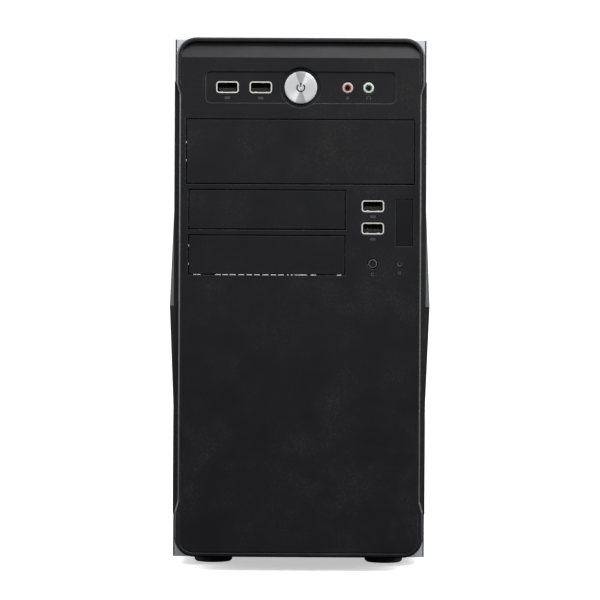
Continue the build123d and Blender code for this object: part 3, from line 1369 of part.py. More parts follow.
with BuildPart() as front_panel_leads:
    add(cable(top_route, lead_r).part)
    add(cable(side_route, lead_r).part)
    block(header_x, top_header_y, top_header_z)
    block(header_x, side_header_y, side_header_z)
save(front_panel_leads, "front_panel_leads")
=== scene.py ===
"""Desktop computer tower: finishes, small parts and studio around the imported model, laid out as an add-on."""
import math
import random

import bmesh
import bpy
from mathutils import Matrix, Vector


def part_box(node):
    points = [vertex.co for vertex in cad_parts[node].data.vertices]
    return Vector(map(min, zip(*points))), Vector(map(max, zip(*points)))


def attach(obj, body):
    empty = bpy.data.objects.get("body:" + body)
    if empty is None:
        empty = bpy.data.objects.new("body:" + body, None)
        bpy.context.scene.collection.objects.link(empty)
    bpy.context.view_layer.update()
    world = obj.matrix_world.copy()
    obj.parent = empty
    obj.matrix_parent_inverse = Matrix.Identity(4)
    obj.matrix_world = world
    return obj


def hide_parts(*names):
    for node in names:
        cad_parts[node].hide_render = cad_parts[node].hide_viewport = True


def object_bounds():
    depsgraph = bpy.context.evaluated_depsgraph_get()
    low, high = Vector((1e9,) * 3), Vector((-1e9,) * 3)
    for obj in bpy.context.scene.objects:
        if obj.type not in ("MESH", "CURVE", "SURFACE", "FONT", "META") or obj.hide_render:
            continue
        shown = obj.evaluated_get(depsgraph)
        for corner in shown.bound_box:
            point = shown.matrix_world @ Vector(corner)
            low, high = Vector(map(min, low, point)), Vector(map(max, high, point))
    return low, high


bl_info = {
    "name": "Desktop computer tower",
    "version": (1, 0, 0),
    "blender": (4, 5, 0),
    "location": "3D View > Sidebar > Tower",
    "description": "Builds the finishes, small parts and studio of a desktop computer tower",
    "category": "Add Mesh",
}

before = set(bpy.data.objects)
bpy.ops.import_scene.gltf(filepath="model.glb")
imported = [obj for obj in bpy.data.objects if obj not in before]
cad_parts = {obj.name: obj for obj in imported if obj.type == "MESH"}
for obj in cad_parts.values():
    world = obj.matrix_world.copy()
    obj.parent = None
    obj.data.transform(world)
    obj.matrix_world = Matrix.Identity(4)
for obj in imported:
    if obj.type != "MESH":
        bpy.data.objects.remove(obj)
CAD_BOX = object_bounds()
MM = 0.001


def mm(*values):
    """Millimetres as metres."""
    return tuple(value * MM for value in values)


# ---------------------------------------------------------------- places and small sizes
# X, Z of the four front USB sockets; those above RECESS_Z are in the top recess
SOCKET_PLACES = (mm(-48.4, 319.6), mm(-26.4, 319.6), mm(48.0, 241.55), mm(48.0, 226.85))
RECESS_Z = 0.3
# width, height, corner, line and depth of a socket's rolled lip, and how far behind the shell it starts
SOCKET_LIP = mm(14.8, 7.7, 2.0, 0.75, 0.3)
SOCKET_LIP_BACK = 0.1 * MM
# two opposite corners and the rounding of a spring and of a contact, from the front of shell and tongue
SPRING = (mm(-0.9, 1.2, -0.12), mm(0.9, 6.0, 0.12), 0.08 * MM)
CONTACT = (mm(-0.5, 0.6, -0.1), mm(0.5, 7.0, 0.08), 0.04 * MM)
SPRING_PLACES = (mm(-3.6, 2.95), mm(-3.6, -2.95), mm(3.6, 2.95), mm(3.6, -2.95))
CONTACT_PLACES = (mm(-3.45, -0.25), mm(-1.15, -0.25), mm(1.15, -0.25), mm(3.45, -0.25))
# inner radius, outer radius and height of the round collars
# the jack throat rings are dark copies of the jack colours: painted shade at the mouths of the jacks
JACK_SLEEVE, JACK_THROAT_SHADE = mm(1.55, 1.8, 3.0), mm(1.78, 2.3, 0.35)
# the lamp and reset rings are thin grey rings: painted highlight on their rims
LAMP_RIM_HIGHLIGHT, RESET_RIM_HIGHLIGHT = mm(1.0, 1.35, 0.06), mm(2.35, 2.75, 0.05)
AUDIO_COLLAR, KEYBOARD_COLLAR = mm(1.9, 3.6, 0.65), mm(4.7, 5.9, 0.65)
COLLAR_SUNK = 0.4 * MM
# corners and rounding of a bay cover's catch-shaped tab in the near-white finish, a painted highlight, and how
# far apart a cover's two tabs are
CATCH_GLINT = (mm(-0.45, 0.35, -0.7), mm(0.02, 2.0, 0.7), 0.12 * MM)
CATCH_GLINT_GAP = 12.0 * MM
# start and length along X of the painted highlight dashes along the lip under the lowest cover, in millimetres
LIP_HIGHLIGHT_DASHES = (
    (-70.3, 2.0), (-67.6, 2.0), (-55.9, 3.7), (-51.1, 3.7), (-46.3, 4.0), (-40.6, 3.9), (-35.2, 3.6),
    (-30.2, 3.7), (-24.7, 4.0), (-19.1, 3.5), (-14.3, 3.7), (-8.5, 1.0), (-5.9, 1.2), (-3.3, 4.0),
    (1.9, 2.8), (7.1, 3.6), (24.5, 2.8),
)
# Places on the main board are in millimetres: Y and Z of the middle, then the sizes along Y, along Z
# and off the board. Coils have only places, capacitors a radius and a height, sinks a number of fins.
CHIPS = (
    (60.0, 96.0, 9.0, 9.0, 1.2), (156.0, 124.0, 9.0, 9.0, 1.0), (158.0, 146.0, 14.0, 14.0, 1.2),
    (130.0, 26.0, 10.0, 6.0, 1.6), (24.0, 96.0, 6.0, 8.0, 1.4), (92.0, 148.0, 8.0, 5.0, 1.2),
    (148.0, 100.0, 5.0, 5.0, 1.0), (112.0, 158.0, 6.0, 5.0, 1.0), (150.0, 66.0, 12.0, 12.0, 1.2),
    (152.0, 172.0, 6.0, 5.0, 1.2), (152.0, 238.0, 6.0, 5.0, 1.2), (100.0, 29.0, 5.0, 4.0, 1.2),
)
COILS = ((153.0, 184.0), (153.0, 198.0), (153.0, 212.0), (153.0, 226.0), (57.0, 246.0), (57.0, 160.0))
CAPACITORS = tuple((164.5, 180.0 + 8.6 * i, 3.4, 9.0) for i in range(7)) + (
    (57.0, 172.0, 3.2, 8.0), (57.0, 180.0, 3.2, 8.0), (57.0, 188.0, 3.2, 8.0), (57.0, 234.0, 3.2, 8.0),
    (140.0, 152.0, 3.2, 8.0), (131.0, 152.0, 3.2, 8.0), (140.0, 52.0, 2.6, 6.0), (148.0, 52.0, 2.6, 6.0),
    (116.0, 52.0, 2.6, 6.0), (118.0, 73.0, 2.6, 6.0), (160.0, 100.0, 2.6, 6.0), (52.0, 70.0, 2.6, 6.0),
)
SINKS = ((70.0, 120.0, 36.0, 32.0, 10), (110.0, 251.0, 62.0, 14.0, 16))
WHITE_PARTS = ((66.0, 232.0, 5.0, 8.0, 6.0), (36.0, 256.0, 8.0, 4.0, 6.0), (158.0, 256.5, 8.0, 5.0, 6.0))
BLACK_PARTS = (
    (148.0, 251.0, 11.0, 11.0, 12.0), (27.0, 75.0, 7.0, 16.0, 9.0), (36.0, 75.0, 7.0, 16.0, 9.0),
    (27.0, 96.0, 3.0, 3.0, 8.0), (112.0, 22.5, 26.0, 4.0, 8.5), (150.0, 22.5, 18.0, 4.0, 8.5),
)
# Y, Z, half width and half height of the places kept clear of small parts
KEEP_CLEAR = (
    (110.0, 205.0, 38.0, 38.0), (154.0, 210.0, 16.0, 40.0), (36.0, 177.0, 12.0, 74.0),
    (70.0, 120.0, 20.0, 18.0), (122.0, 64.0, 48.0, 26.0), (110.0, 251.0, 40.0, 10.0),
    (150.0, 251.0, 12.0, 9.0), (12.0, 70.0, 12.0, 36.0), (58.0, 40.0, 14.0, 14.0),
    (27.0, 75.0, 14.0, 11.0), (156.0, 135.0, 10.0, 22.0), (12.0, 190.0, 9.0, 34.0),
    (57.0, 200.0, 6.0, 54.0), (60.0, 96.0, 6.0, 6.0), (130.0, 24.0, 34.0, 6.0),
)
# X and Z of the rear connectors
AUDIO_X = mm(43.4, 54.4, 65.4)
AUDIO_Z, INLET_Z = mm(114.57, 298.5)
KEYBOARD, VIDEO, NETWORK = mm(64.4, 243.58), mm(64.65, 191.04), mm(50.0, 137.29)
# wire of the supply's guard, and the mains switch's throw
GUARD_WIRE = 0.75 * MM
SWITCH_THROW = math.radians(24)
SMALL_PARTS = 150


# ---------------------------------------------------------------- properties
def colour_property(name, description, default):
    return bpy.props.FloatVectorProperty(
        name=name, description=description, default=default, size=3, min=0.0, max=1.0, subtype="COLOR"
    )


def length_property(name, description, default):
    return bpy.props.FloatProperty(
        name=name, description=description, default=default, min=0.0, unit="LENGTH"
    )


class TowerColours(bpy.types.PropertyGroup):
    plastic: colour_property("Plastic", "Colour of the moulded front", (0.0046, 0.0045, 0.0060))
    dark_plastic: colour_property("Dark plastic", "Colour of the inner mouldings", (0.010, 0.010, 0.011))
    paint: colour_property("Paint", "Colour of the painted side panels", (0.012, 0.012, 0.013))
    steel: colour_property("Steel", "Colour of the zinc-coated sheet", (0.50, 0.51, 0.52))
    bright_steel: colour_property("Bright steel", "Colour of shells and screws", (0.74, 0.74, 0.73))
    button: colour_property("Button", "Colour of the spun button face", (0.97, 0.97, 0.97))
    mark: colour_property("Mark", "Colour of the printed marks", (0.17, 0.17, 0.175))
    microphone: colour_property("Microphone jack", "Colour of the microphone jack", (0.95, 0.66, 0.66))
    headphone: colour_property("Headphone jack", "Colour of the headphone jack", (0.94, 0.98, 0.90))
    board: colour_property("Board", "Colour of the solder mask", (0.006, 0.045, 0.022))
    rubber: colour_property("Rubber", "Colour of the feet", (0.012, 0.012, 0.012))


class TowerSizes(bpy.types.PropertyGroup):
    mark_height: length_property("Mark height", "How far printed marks stand above the surface", 0.06 * MM)
    symbol_radius: length_property("Symbol radius", "Radius of the mark on the power button", 2.5 * MM)
    symbol_line: length_property("Symbol line", "Line width of the mark on the power button", 0.8 * MM)
    camera_distance: length_property("Camera distance", "From the camera to the front of the bezel", 1.5)
    camera_height: length_property("Camera height", "Height of the camera above the floor", 0.1794)


# ---------------------------------------------------------------- mesh helpers
def facing(x, y, z):
    """Placement whose local Z points out of the front and whose local Y points up."""
    return Matrix.Translation((x, y, z)) @ Matrix.Rotation(math.pi / 2, 4, "X")


def facing_rear(x, y, z):
    """Placement whose local Z points out of the back and whose local Y points up."""
    turn = Matrix.Rotation(math.pi, 4, "Z") @ Matrix.Rotation(math.pi / 2, 4, "X")
    return Matrix.Translation((x, y, z)) @ turn


def facing_left(x, y, z):
    """Placement whose local Z points along -X and whose local Y points up."""
    turn = Matrix(((0, 0, -1), (-1, 0, 0), (0, 1, 0))).to_4x4()
    return Matrix.Translation((x, y, z)) @ turn


def place(bm, before, matrix):
    """Moves what was added to bm since before."""
    added = [v for v in bm.verts if v not in before]
    bmesh.ops.transform(bm, matrix=matrix, verts=added)


def add_box(bm, low, high, bevel=0.0, segments=2, matrix=None):
    """Box between two corners, with its edges rounded by bevel."""
    before = set(bm.verts)
    made = bmesh.ops.create_cube(bm, size=1.0)["verts"]
    low, high = Vector(low), Vector(high)
    bmesh.ops.scale(bm, vec=high - low, verts=made)
    bmesh.ops.translate(bm, vec=(low + high) / 2, verts=made)
    if bevel:
        edges = list({edge for vert in made for edge in vert.link_edges})
        bmesh.ops.bevel(
            bm, geom=edges, offset=bevel, affect="EDGES", segments=segments, profile=0.5, material=-1
        )
    if matrix is not None:
        place(bm, before, matrix)


def spin(bm, geom, angle, steps, merge=True):
    """Sweeps geometry round the Z axis."""
    bmesh.ops.spin(
        bm, geom=geom, cent=(0, 0, 0), axis=(0, 0, 1), dvec=(0, 0, 0),
        angle=angle, steps=steps, use_merge=merge, use_duplicate=False,
    )


def add_turned(bm, profile, matrix, steps=32):
    """Full spin of a profile of (radius, height) points round the placement's Z axis."""
    before = set(bm.verts)
    verts = [bm.verts.new((radius, 0, height)) for radius, height in profile]
    edges = [bm.edges.new(pair) for pair in zip(verts, verts[1:])]
    spin(bm, verts + edges, 2 * math.pi, steps)
    added = [v for v in bm.verts if v not in before]
    bmesh.ops.remove_doubles(bm, verts=added, dist=1e-7)
    place(bm, before, matrix)


def add_rod(bm, start, end, radius, steps=12):
    """Round rod between two points."""
    before = set(bm.verts)
    start, end = Vector(start), Vector(end)
    run = end - start
    bmesh.ops.create_cone(bm, cap_ends=True, segments=steps, radius1=radius, radius2=radius, depth=run.length)
    turn = run.to_track_quat("Z", "Y").to_matrix().to_4x4()
    place(bm, before, Matrix.Translation((start + end) / 2) @ turn)


def add_hoop(bm, radius, wire, matrix, steps=72):
    """Ring of round wire in the placement's XY plane."""
    before = set(bm.verts)
    circle = bmesh.ops.create_circle(bm, cap_ends=False, segments=10, radius=wire)["verts"]
    bmesh.ops.rotate(bm, cent=(0, 0, 0), matrix=Matrix.Rotation(math.pi / 2, 3, "X"), verts=circle)
    bmesh.ops.translate(bm, vec=(radius, 0, 0), verts=circle)
    edges = list({edge for vert in circle for edge in vert.link_edges})
    spin(bm, circle + edges, 2 * math.pi, steps)
    place(bm, before, matrix)


def add_frame(bm, width, tall, corner, lip, height, matrix):
    """Rounded rectangular frame: lip is its width, height how far it stands along the placement's Z."""
    before = set(bm.verts)
    old_faces = set(bm.faces)
    signs = ((-1, -1), (1, -1), (1, 1), (-1, 1))
    corners = [bm.verts.new((x * width / 2, y * tall / 2, 0)) for x, y in signs]
    bm.faces.new(corners)
    bmesh.ops.bevel(
        bm, geom=corners, offset=corner, affect="VERTICES", segments=5, profile=0.5, material=-1
    )
    middle = [face for face in bm.faces if face not in old_faces]
    ring = bmesh.ops.inset_region(
        bm, faces=middle, thickness=lip, use_boundary=True, use_even_offset=True
    )["faces"]
    bmesh.ops.delete(bm, geom=middle, context="FACES")
    grown = bmesh.ops.extrude_face_region(bm, geom=ring, use_keep_orig=True)["geom"]
    moved = [item for item in grown if isinstance(item, bmesh.types.BMVert)]
    bmesh.ops.translate(bm, vec=(0, 0, height), verts=moved)
    place(bm, before, matrix)


def disc_profile(radius, height, edge):
    """Foot, side and rounded top edge of a disc."""
    profile = [(0.0, 0.0), (radius, 0.0), (radius, height - edge)]
    for turn in (math.pi / 6, math.pi / 3, math.pi / 2) if edge else ():
        profile.append((radius - edge * (1 - math.cos(turn)), height - edge * (1 - math.sin(turn))))
    return profile


def add_disc(bm, radius, height, matrix, steps=24, edge=0.0):
    """Round button or can standing along the placement's Z, with its top edge rounded by edge."""
    add_turned(bm, disc_profile(radius, height, edge) + [(0.0, height)], matrix, steps)


def add_tube(bm, inner, outer, height, matrix, steps=32):
    """Round collar standing along the placement's Z."""
    profile = [(inner, 0.0), (outer, 0.0), (outer, height * 0.7), (outer * 0.85 + inner * 0.15, height)]
    profile += [(outer * 0.2 + inner * 0.8, height), (inner, height * 0.7), (inner, 0.0)]
    add_turned(bm, profile, matrix, steps)


def middle_of(node):
    """Middle of a node's box."""
    low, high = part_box(node)
    return (low + high) / 2


def add_arc(bm, radius, width, height, start, sweep, matrix, steps=24):
    """Flat raised arc with square ends; angles in radians from local X."""
    before = set(bm.verts)
    inner, outer = radius - width / 2, radius + width / 2
    corners = [(inner, 0), (outer, 0), (outer, height), (inner, height)]
    face = bm.faces.new([bm.verts.new((reach, 0, rise)) for reach, rise in corners])
    spin(bm, [face], sweep, steps, merge=False)
    added = [v for v in bm.verts if v not in before]
    bmesh.ops.rotate(bm, cent=(0, 0, 0), matrix=Matrix.Rotation(start, 3, "Z"), verts=added)
    place(bm, before, matrix)


def keep(bm, name, finish, body="chassis"):
    """Turns the bmesh into a closed piece that rides on a body, with its edges sharp above 40 degrees."""
    material = bpy.data.materials.get(finish)
    if material is None:
        raise RuntimeError(f"the finish {finish} is not made yet")
    bmesh.ops.holes_fill(bm, edges=[edge for edge in bm.edges if edge.is_boundary], sides=0)
    bmesh.ops.recalc_face_normals(bm, faces=bm.faces)
    mesh = bpy.data.meshes.new(name)
    bm.to_mesh(mesh)
    bm.free()
    mesh.materials.append(material)
    mesh.polygons.foreach_set("use_smooth", [True] * len(mesh.polygons))
    mesh.set_sharp_from_angle(angle=math.radians(40.0))
    piece = bpy.data.objects.new(name, mesh)
    bpy.context.scene.collection.objects.link(piece)
    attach(piece, body)
    return piece


# ---------------------------------------------------------------- material helpers
class Finish:
    """A material under construction, with its shader and object coordinates at hand."""

    def __init__(self, name, colour, metallic=0.0, roughness=0.5):
        self.material = bpy.data.materials.new(name)
        self.material.use_nodes = True
        self.tree = self.material.node_tree
        self.shader = self.tree.nodes["Principled BSDF"]
        self.set("Base Color", tuple(colour))
        self.set("Metallic", metallic)
        self.set("Roughness", roughness)
        self.coordinates = self.node("ShaderNodeTexCoord").outputs["Object"]

    def node(self, kind, inputs=None, **values):
        """New node with its settings and its inputs, each a value or another node's socket."""
        made = self.tree.nodes.new(kind)
        for key, value in values.items():
            setattr(made, key, value)
        for key, value in (inputs or {}).items():
            self.feed(made.inputs[key], value)
        return made

    def feed(self, socket, value):
        """Links another socket into this one, or gives it a value."""
        if isinstance(value, bpy.types.NodeSocket):
            self.tree.links.new(value, socket)
        else:
            socket.default_value = (*value[:3], 1.0) if socket.type == "RGBA" else value

    def set(self, name, value):
        self.feed(self.shader.inputs[name], value)

    def done(self, base, roughness, normal):
        """The material, once its colour, roughness and normal are set."""
        self.set("Base Color", base)
        self.set("Roughness", roughness)
        self.set("Normal", normal)
        return self.material

    def mapped(self, scale, vector=None):
        inputs = {"Scale": scale, "Vector": vector or self.coordinates}
        return self.node("ShaderNodeMapping", inputs).outputs["Vector"]

    def noise(self, scale, detail=2.0, roughness=0.5, vector=None):
        """Noise whose features are about 1 / scale metres across."""
        inputs = {
            "Scale": scale, "Detail": detail, "Roughness": roughness, "Vector": vector or self.coordinates
        }
        return self.node("ShaderNodeTexNoise", inputs).outputs["Fac"]

    def ranged(self, value, low, high, to_low, to_high):
        inputs = {"Value": value, "From Min": low, "From Max": high, "To Min": to_low, "To Max": to_high}
        return self.node("ShaderNodeMapRange", inputs).outputs["Result"]

    def maths(self, operation, first, second):
        return self.node("ShaderNodeMath", {0: first, 1: second}, operation=operation).outputs["Value"]

    def blend(self, factor, first, second):
        """Mixes two colours, each a colour or a socket, by a factor socket."""
        inputs = {"Factor": factor, "A": first, "B": second}
        return self.node("ShaderNodeMix", inputs, data_type="RGBA").outputs["Result"]

    def rounded_edges(self, radius):
        """Normal with softened edges, and a mask of how near an edge a point is."""
        bevel = self.node("ShaderNodeBevel", {"Radius": radius}, samples=4).outputs["Normal"]
        true_normal = self.node("ShaderNodeNewGeometry").outputs["Normal"]
        dot = self.node("ShaderNodeVectorMath", {0: bevel, 1: true_normal}, operation="DOT_PRODUCT")
        return bevel, self.ranged(dot.outputs["Value"], 0.99, 0.80, 0.0, 1.0)

    def bump(self, height, distance, strength=1.0, normal=None):
        inputs = {"Strength": strength, "Distance": distance, "Height": height}
        if normal is not None:
            inputs["Normal"] = normal
        return self.node("ShaderNodeBump", inputs).outputs["Normal"]


def shaded(colour, factor):
    """The colour made factor times lighter, up to white."""
    return tuple(min(1.0, channel * factor) for channel in colour)


def moulded(
    name, colour, roughness=0.46, wear_and_highlight_gain=2.6, dust=0.10,
    grain=2600.0, grain_depth=0.02 * MM, edge=0.3 * MM, wear_and_highlight_low=0.15,
):
    """Moulded plastic: fine eroded texture, faint flow marks, lighter scuffed edges, a painted highlight along
    the edges where the gain is large, and a little dust.

    The fourth argument is how many times lighter than the colour an edge is, and the last argument its least
    share along every edge; large values paint a highlight line along the edges besides scuffing.
    """
    finish = Finish(name, colour, roughness=roughness)
    edge_normal, edge_mask = finish.rounded_edges(edge)
    flow = finish.noise(9.0, detail=4.0, roughness=0.6)
    smudge = finish.noise(38.0, detail=5.0, roughness=0.62)
    speck = finish.noise(900.0, detail=1.0)
    base = finish.blend(finish.ranged(flow, 0.35, 0.65, 0.0, 1.0), shaded(colour, 0.88), shaded(colour, 1.12))
    dusty = finish.ranged(finish.maths("MULTIPLY", smudge, speck), 0.28, 0.52, 0.0, dust)
    base = finish.blend(dusty, base, (0.16, 0.155, 0.15))
    # edges lighter: scuffing, and where the gain is large a painted highlight along every edge
    wear_and_highlight = finish.maths("MULTIPLY", edge_mask, finish.ranged(smudge, 0.38, 0.62, wear_and_highlight_low, 0.85))
    base = finish.blend(wear_and_highlight, base, shaded(colour, wear_and_highlight_gain))
    finish.set("Specular IOR Level", 0.42)
    rough = finish.ranged(smudge, 0.3, 0.7, roughness - 0.05, roughness + 0.07)
    return finish.done(base, rough, finish.bump(finish.noise(grain), grain_depth, 0.5, edge_normal))


def zinc_sheet(name, colour, roughness=0.36, metallic=1.0):
    """Zinc-coated sheet: faint spangle, drawing lines from the roll, and handling marks."""
    finish = Finish(name, colour, metallic=metallic, roughness=roughness)
    edge_normal, edge_mask = finish.rounded_edges(0.25 * MM)
    spangle = finish.node("ShaderNodeTexVoronoi", {"Scale": 150.0, "Vector": finish.coordinates})
    flake = finish.node("ShaderNodeSeparateColor", {"Color": spangle.outputs["Color"]}).outputs["Red"]
    lines = finish.noise(1.0, detail=3.0, vector=finish.mapped(scale=(900.0, 12.0, 900.0)))
    stain = finish.noise(14.0, detail=5.0, roughness=0.65)
    base = finish.blend(finish.ranged(flake, 0.0, 1.0, 0.0, 0.30), colour, shaded(colour, 0.86))
    base = finish.blend(finish.ranged(stain, 0.5, 0.75, 0.0, 0.35), base, shaded(colour, 0.62))
    base = finish.blend(finish.maths("MULTIPLY", edge_mask, 0.5), base, shaded(colour, 1.35))
    flake_rough = finish.ranged(flake, 0.0, 1.0, roughness - 0.02, roughness + 0.03)
    line_rough = finish.ranged(lines, 0.3, 0.7, -0.04, 0.05)
    rough = finish.maths("ADD", flake_rough, line_rough)
    return finish.done(base, rough, finish.bump(lines, 0.01 * MM, 0.35, edge_normal))


def painted_sheet(name, colour):
    """Powder-like satin black paint over steel: orange peel, rub marks and bare glints on edges."""
    finish = Finish(name, colour, roughness=0.38)
    edge_normal, edge_mask = finish.rounded_edges(0.4 * MM)
    peel = finish.noise(650.0, detail=3.0, roughness=0.55)
    cloud = finish.noise(7.0, detail=5.0, roughness=0.6)
    rub = finish.noise(60.0, detail=4.0, roughness=0.7)
    base = finish.blend(finish.ranged(cloud, 0.35, 0.65, 0.0, 1.0), shaded(colour, 0.9), shaded(colour, 1.15))
    chipped = finish.maths("MULTIPLY", edge_mask, finish.ranged(rub, 0.56, 0.64, 0.0, 0.8))
    base = finish.blend(chipped, base, (0.30, 0.30, 0.30))
    finish.set("Metallic", chipped)
    finish.set("Coat Weight", 0.12)
    finish.set("Coat Roughness", 0.25)
    rough = finish.ranged(cloud, 0.3, 0.7, 0.33, 0.44)
    return finish.done(base, rough, finish.bump(peel, 0.03 * MM, 0.4, edge_normal))


def plain_metal(name, colour, roughness=0.25, line_scale=(700.0, 700.0, 60.0), mottle=0.25, edge=0.15 * MM):
    """Plated or machined metal with fine lines and slightly uneven gloss."""
    finish = Finish(name, colour, metallic=1.0, roughness=roughness)
    edge_normal, edge_mask = finish.rounded_edges(edge)
    lines = finish.noise(1.0, detail=2.0, vector=finish.mapped(scale=line_scale))
    cloud = finish.noise(120.0, detail=4.0, roughness=0.6)
    base = finish.blend(finish.ranged(cloud, 0.35, 0.7, 0.0, mottle), colour, shaded(colour, 0.55))
    base = finish.blend(finish.maths("MULTIPLY", edge_mask, 0.4), base, shaded(colour, 1.2))
    rough = finish.ranged(cloud, 0.3, 0.7, roughness - 0.06, roughness + 0.10)
    return finish.done(base, rough, finish.bump(lines, 0.006 * MM, 0.4, edge_normal))


def spun_metal(name, colour):
    """Face turned on a lathe: fine rings, and two grey wedges at top and bottom that paint shade where the
    turned face reflects little, carried by a polar UV map.
    """
    finish = Finish(name, colour, metallic=0.3, roughness=0.38)
    uv = finish.node("ShaderNodeUVMap", uv_map="polar").outputs["UV"]
    rings = finish.mapped((2.0, 260.0, 1.0), uv)
    grooves = finish.noise(1.0, detail=3.0, roughness=0.7, vector=rings)
    tangent = finish.node("ShaderNodeTangent", direction_type="UV_MAP", uv_map="polar")
    finish.set("Tangent", tangent.outputs["Tangent"])
    finish.set("Anisotropic", 0.95)
    finish.set("Anisotropic Rotation", 0.25)
    turned = finish.blend(finish.ranged(grooves, 0.3, 0.7, 0.0, 0.35), colour, shaded(colour, 0.85))
    # the grey wedges at top and bottom are painted shade, standing for the dim part of the turned face's
    # reflection
    angle = finish.node("ShaderNodeSeparateXYZ", {"Vector": uv})
    sine = finish.maths("SINE", finish.maths("MULTIPLY", angle.outputs["X"], 2 * math.pi), 0.0)
    painted_shade_wedges = finish.ranged(finish.maths("ABSOLUTE", sine, 0.0), 0.925, 0.955, 0.0, 0.75)
    base = finish.blend(painted_shade_wedges, turned, shaded(colour, 0.36))
    rough = finish.ranged(grooves, 0.3, 0.7, 0.34, 0.44)
    return finish.done(base, rough, finish.bump(grooves, 0.004 * MM, 0.35))


def circuit_board(name, colour, axis_scale):
    """Solder mask over copper tracks and vias; axis_scale flattens the pattern on the board's plane."""
    finish = Finish(name, colour, roughness=0.34)
    vector = finish.mapped(scale=axis_scale)
    bricks = {
        "Vector": vector, "Scale": 95.0, "Mortar Size": 0.06,
        "Color1": (0, 0, 0), "Color2": (0.25, 0.25, 0.25), "Mortar": (1, 1, 1),
    }
    tracks = finish.node("ShaderNodeTexBrick", bricks, offset=0.37, squash=0.6, squash_frequency=3)
    vias = finish.node("ShaderNodeTexVoronoi", {"Scale": 210.0, "Vector": vector})
    via_mask = finish.ranged(vias.outputs["Distance"], 0.17, 0.13, 0.0, 1.0)
    track_mask = finish.ranged(tracks.outputs["Fac"], 0.3, 0.7, 0.0, 0.45)
    cloud = finish.noise(25.0, detail=3.0)
    base = finish.blend(finish.ranged(cloud, 0.35, 0.65, 0.0, 1.0), shaded(colour, 0.8), shaded(colour, 1.25))
    base = finish.blend(track_mask, base, shaded(colour, 2.4))
    base = finish.blend(via_mask, base, (0.42, 0.36, 0.22))
    rough = finish.ranged(cloud, 0.3, 0.7, 0.26, 0.4)
    return finish.done(base, rough, finish.bump(track_mask, 0.03 * MM, 0.5))


def rubber(name, colour):
    """Soft black rubber: dry grain, scuffs and lighter edges."""
    finish = Finish(name, colour, roughness=0.72)
    edge_normal, edge_mask = finish.rounded_edges(0.4 * MM)
    grain = finish.noise(1400.0, detail=3.0)
    scuff = finish.noise(70.0, detail=5.0, roughness=0.7)
    base = finish.blend(finish.ranged(scuff, 0.45, 0.75, 0.0, 0.35), colour, (0.07, 0.068, 0.065))
    base = finish.blend(finish.maths("MULTIPLY", edge_mask, 0.3), base, (0.06, 0.06, 0.06))
    rough = finish.ranged(scuff, 0.3, 0.7, 0.64, 0.82)
    return finish.done(base, rough, finish.bump(grain, 0.03 * MM, 0.5, edge_normal))


def gloss_plate(name, colour):
    """High-gloss plastic with light wipe marks."""
    finish = Finish(name, colour, roughness=0.12)
    edge_normal = finish.rounded_edges(0.25 * MM)[0]
    wipe = finish.noise(1.0, detail=4.0, vector=finish.mapped(scale=(420.0, 60.0, 60.0)))
    cloud = finish.noise(55.0, detail=4.0)
    wiped = finish.ranged(cloud, 0.4, 0.7, 0.0, 0.3)
    finish.set("Coat Weight", 0.5)
    finish.set("Coat Roughness", 0.06)
    base = finish.blend(wiped, colour, shaded(colour, 2.0))
    rough = finish.ranged(wipe, 0.35, 0.7, 0.10, 0.22)
    return finish.done(base, rough, finish.bump(wipe, 0.003 * MM, 0.3, edge_normal))


def clear_lens(name, colour):
    """Smoky lens that light enters a little."""
    finish = Finish(name, colour, roughness=0.22)
    cloud = finish.noise(300.0, detail=2.0)
    finish.set("Base Color", finish.blend(cloud, shaded(colour, 0.85), colour))
    finish.set("Roughness", finish.ranged(cloud, 0.3, 0.7, 0.16, 0.3))
    finish.set("Subsurface Weight", 0.4)
    finish.set("Subsurface Scale", 0.5 * MM)
    return finish.material


# colour, roughness, how many times lighter the scuffed and highlighted edges are, and dust of the small
# mouldings
SMALL_MOULDINGS = {
    # dark copies of the jack colours: painted shade in the jack throats
    "microphone_throat_shade": ((0.16, 0.03, 0.035), 0.4, 1.2, 0.0),
    "headphone_throat_shade": ((0.10, 0.13, 0.10), 0.4, 1.2, 0.0),
    # grey for the thin rings at the lamp and reset button: painted highlight
    "painted_highlight_grey": ((0.16, 0.16, 0.165), 0.5, 1.4, 0.05),
    "jack_blue": ((0.03, 0.12, 0.45), 0.4, 1.3, 0.05),
    "jack_green": ((0.12, 0.50, 0.16), 0.4, 1.3, 0.05),
    "jack_pink": ((0.70, 0.20, 0.28), 0.4, 1.3, 0.05),
    "jack_purple": ((0.22, 0.08, 0.36), 0.4, 1.3, 0.05),
    "white_print": ((0.62, 0.62, 0.60), 0.55, 1.0, 0.0),
    "white_nylon": ((0.66, 0.64, 0.56), 0.42, 1.1, 0.05),
    "capacitor_sleeve": ((0.010, 0.014, 0.03), 0.3, 1.6, 0.05),
    "dark_mark": ((0.03, 0.03, 0.032), 0.5, 1.5, 0.0),
}
# colour, roughness, scale of the fine lines and depth of the mottle of the plated and machined metals
METALS = {
    "heatsink_aluminium": ((0.60, 0.61, 0.63), 0.38, (50.0, 900.0, 900.0), 0.25),
    "cast_aluminium": ((0.40, 0.41, 0.42), 0.42, (300.0, 300.0, 300.0), 0.4),
    "brass": ((0.60, 0.42, 0.16), 0.28, (700.0, 700.0, 60.0), 0.25),
    "gold_contact": ((0.78, 0.56, 0.22), 0.22, (700.0, 700.0, 60.0), 0.25),
    "tinned_ceramic": ((0.42, 0.38, 0.32), 0.45, (700.0, 700.0, 60.0), 0.5),
}


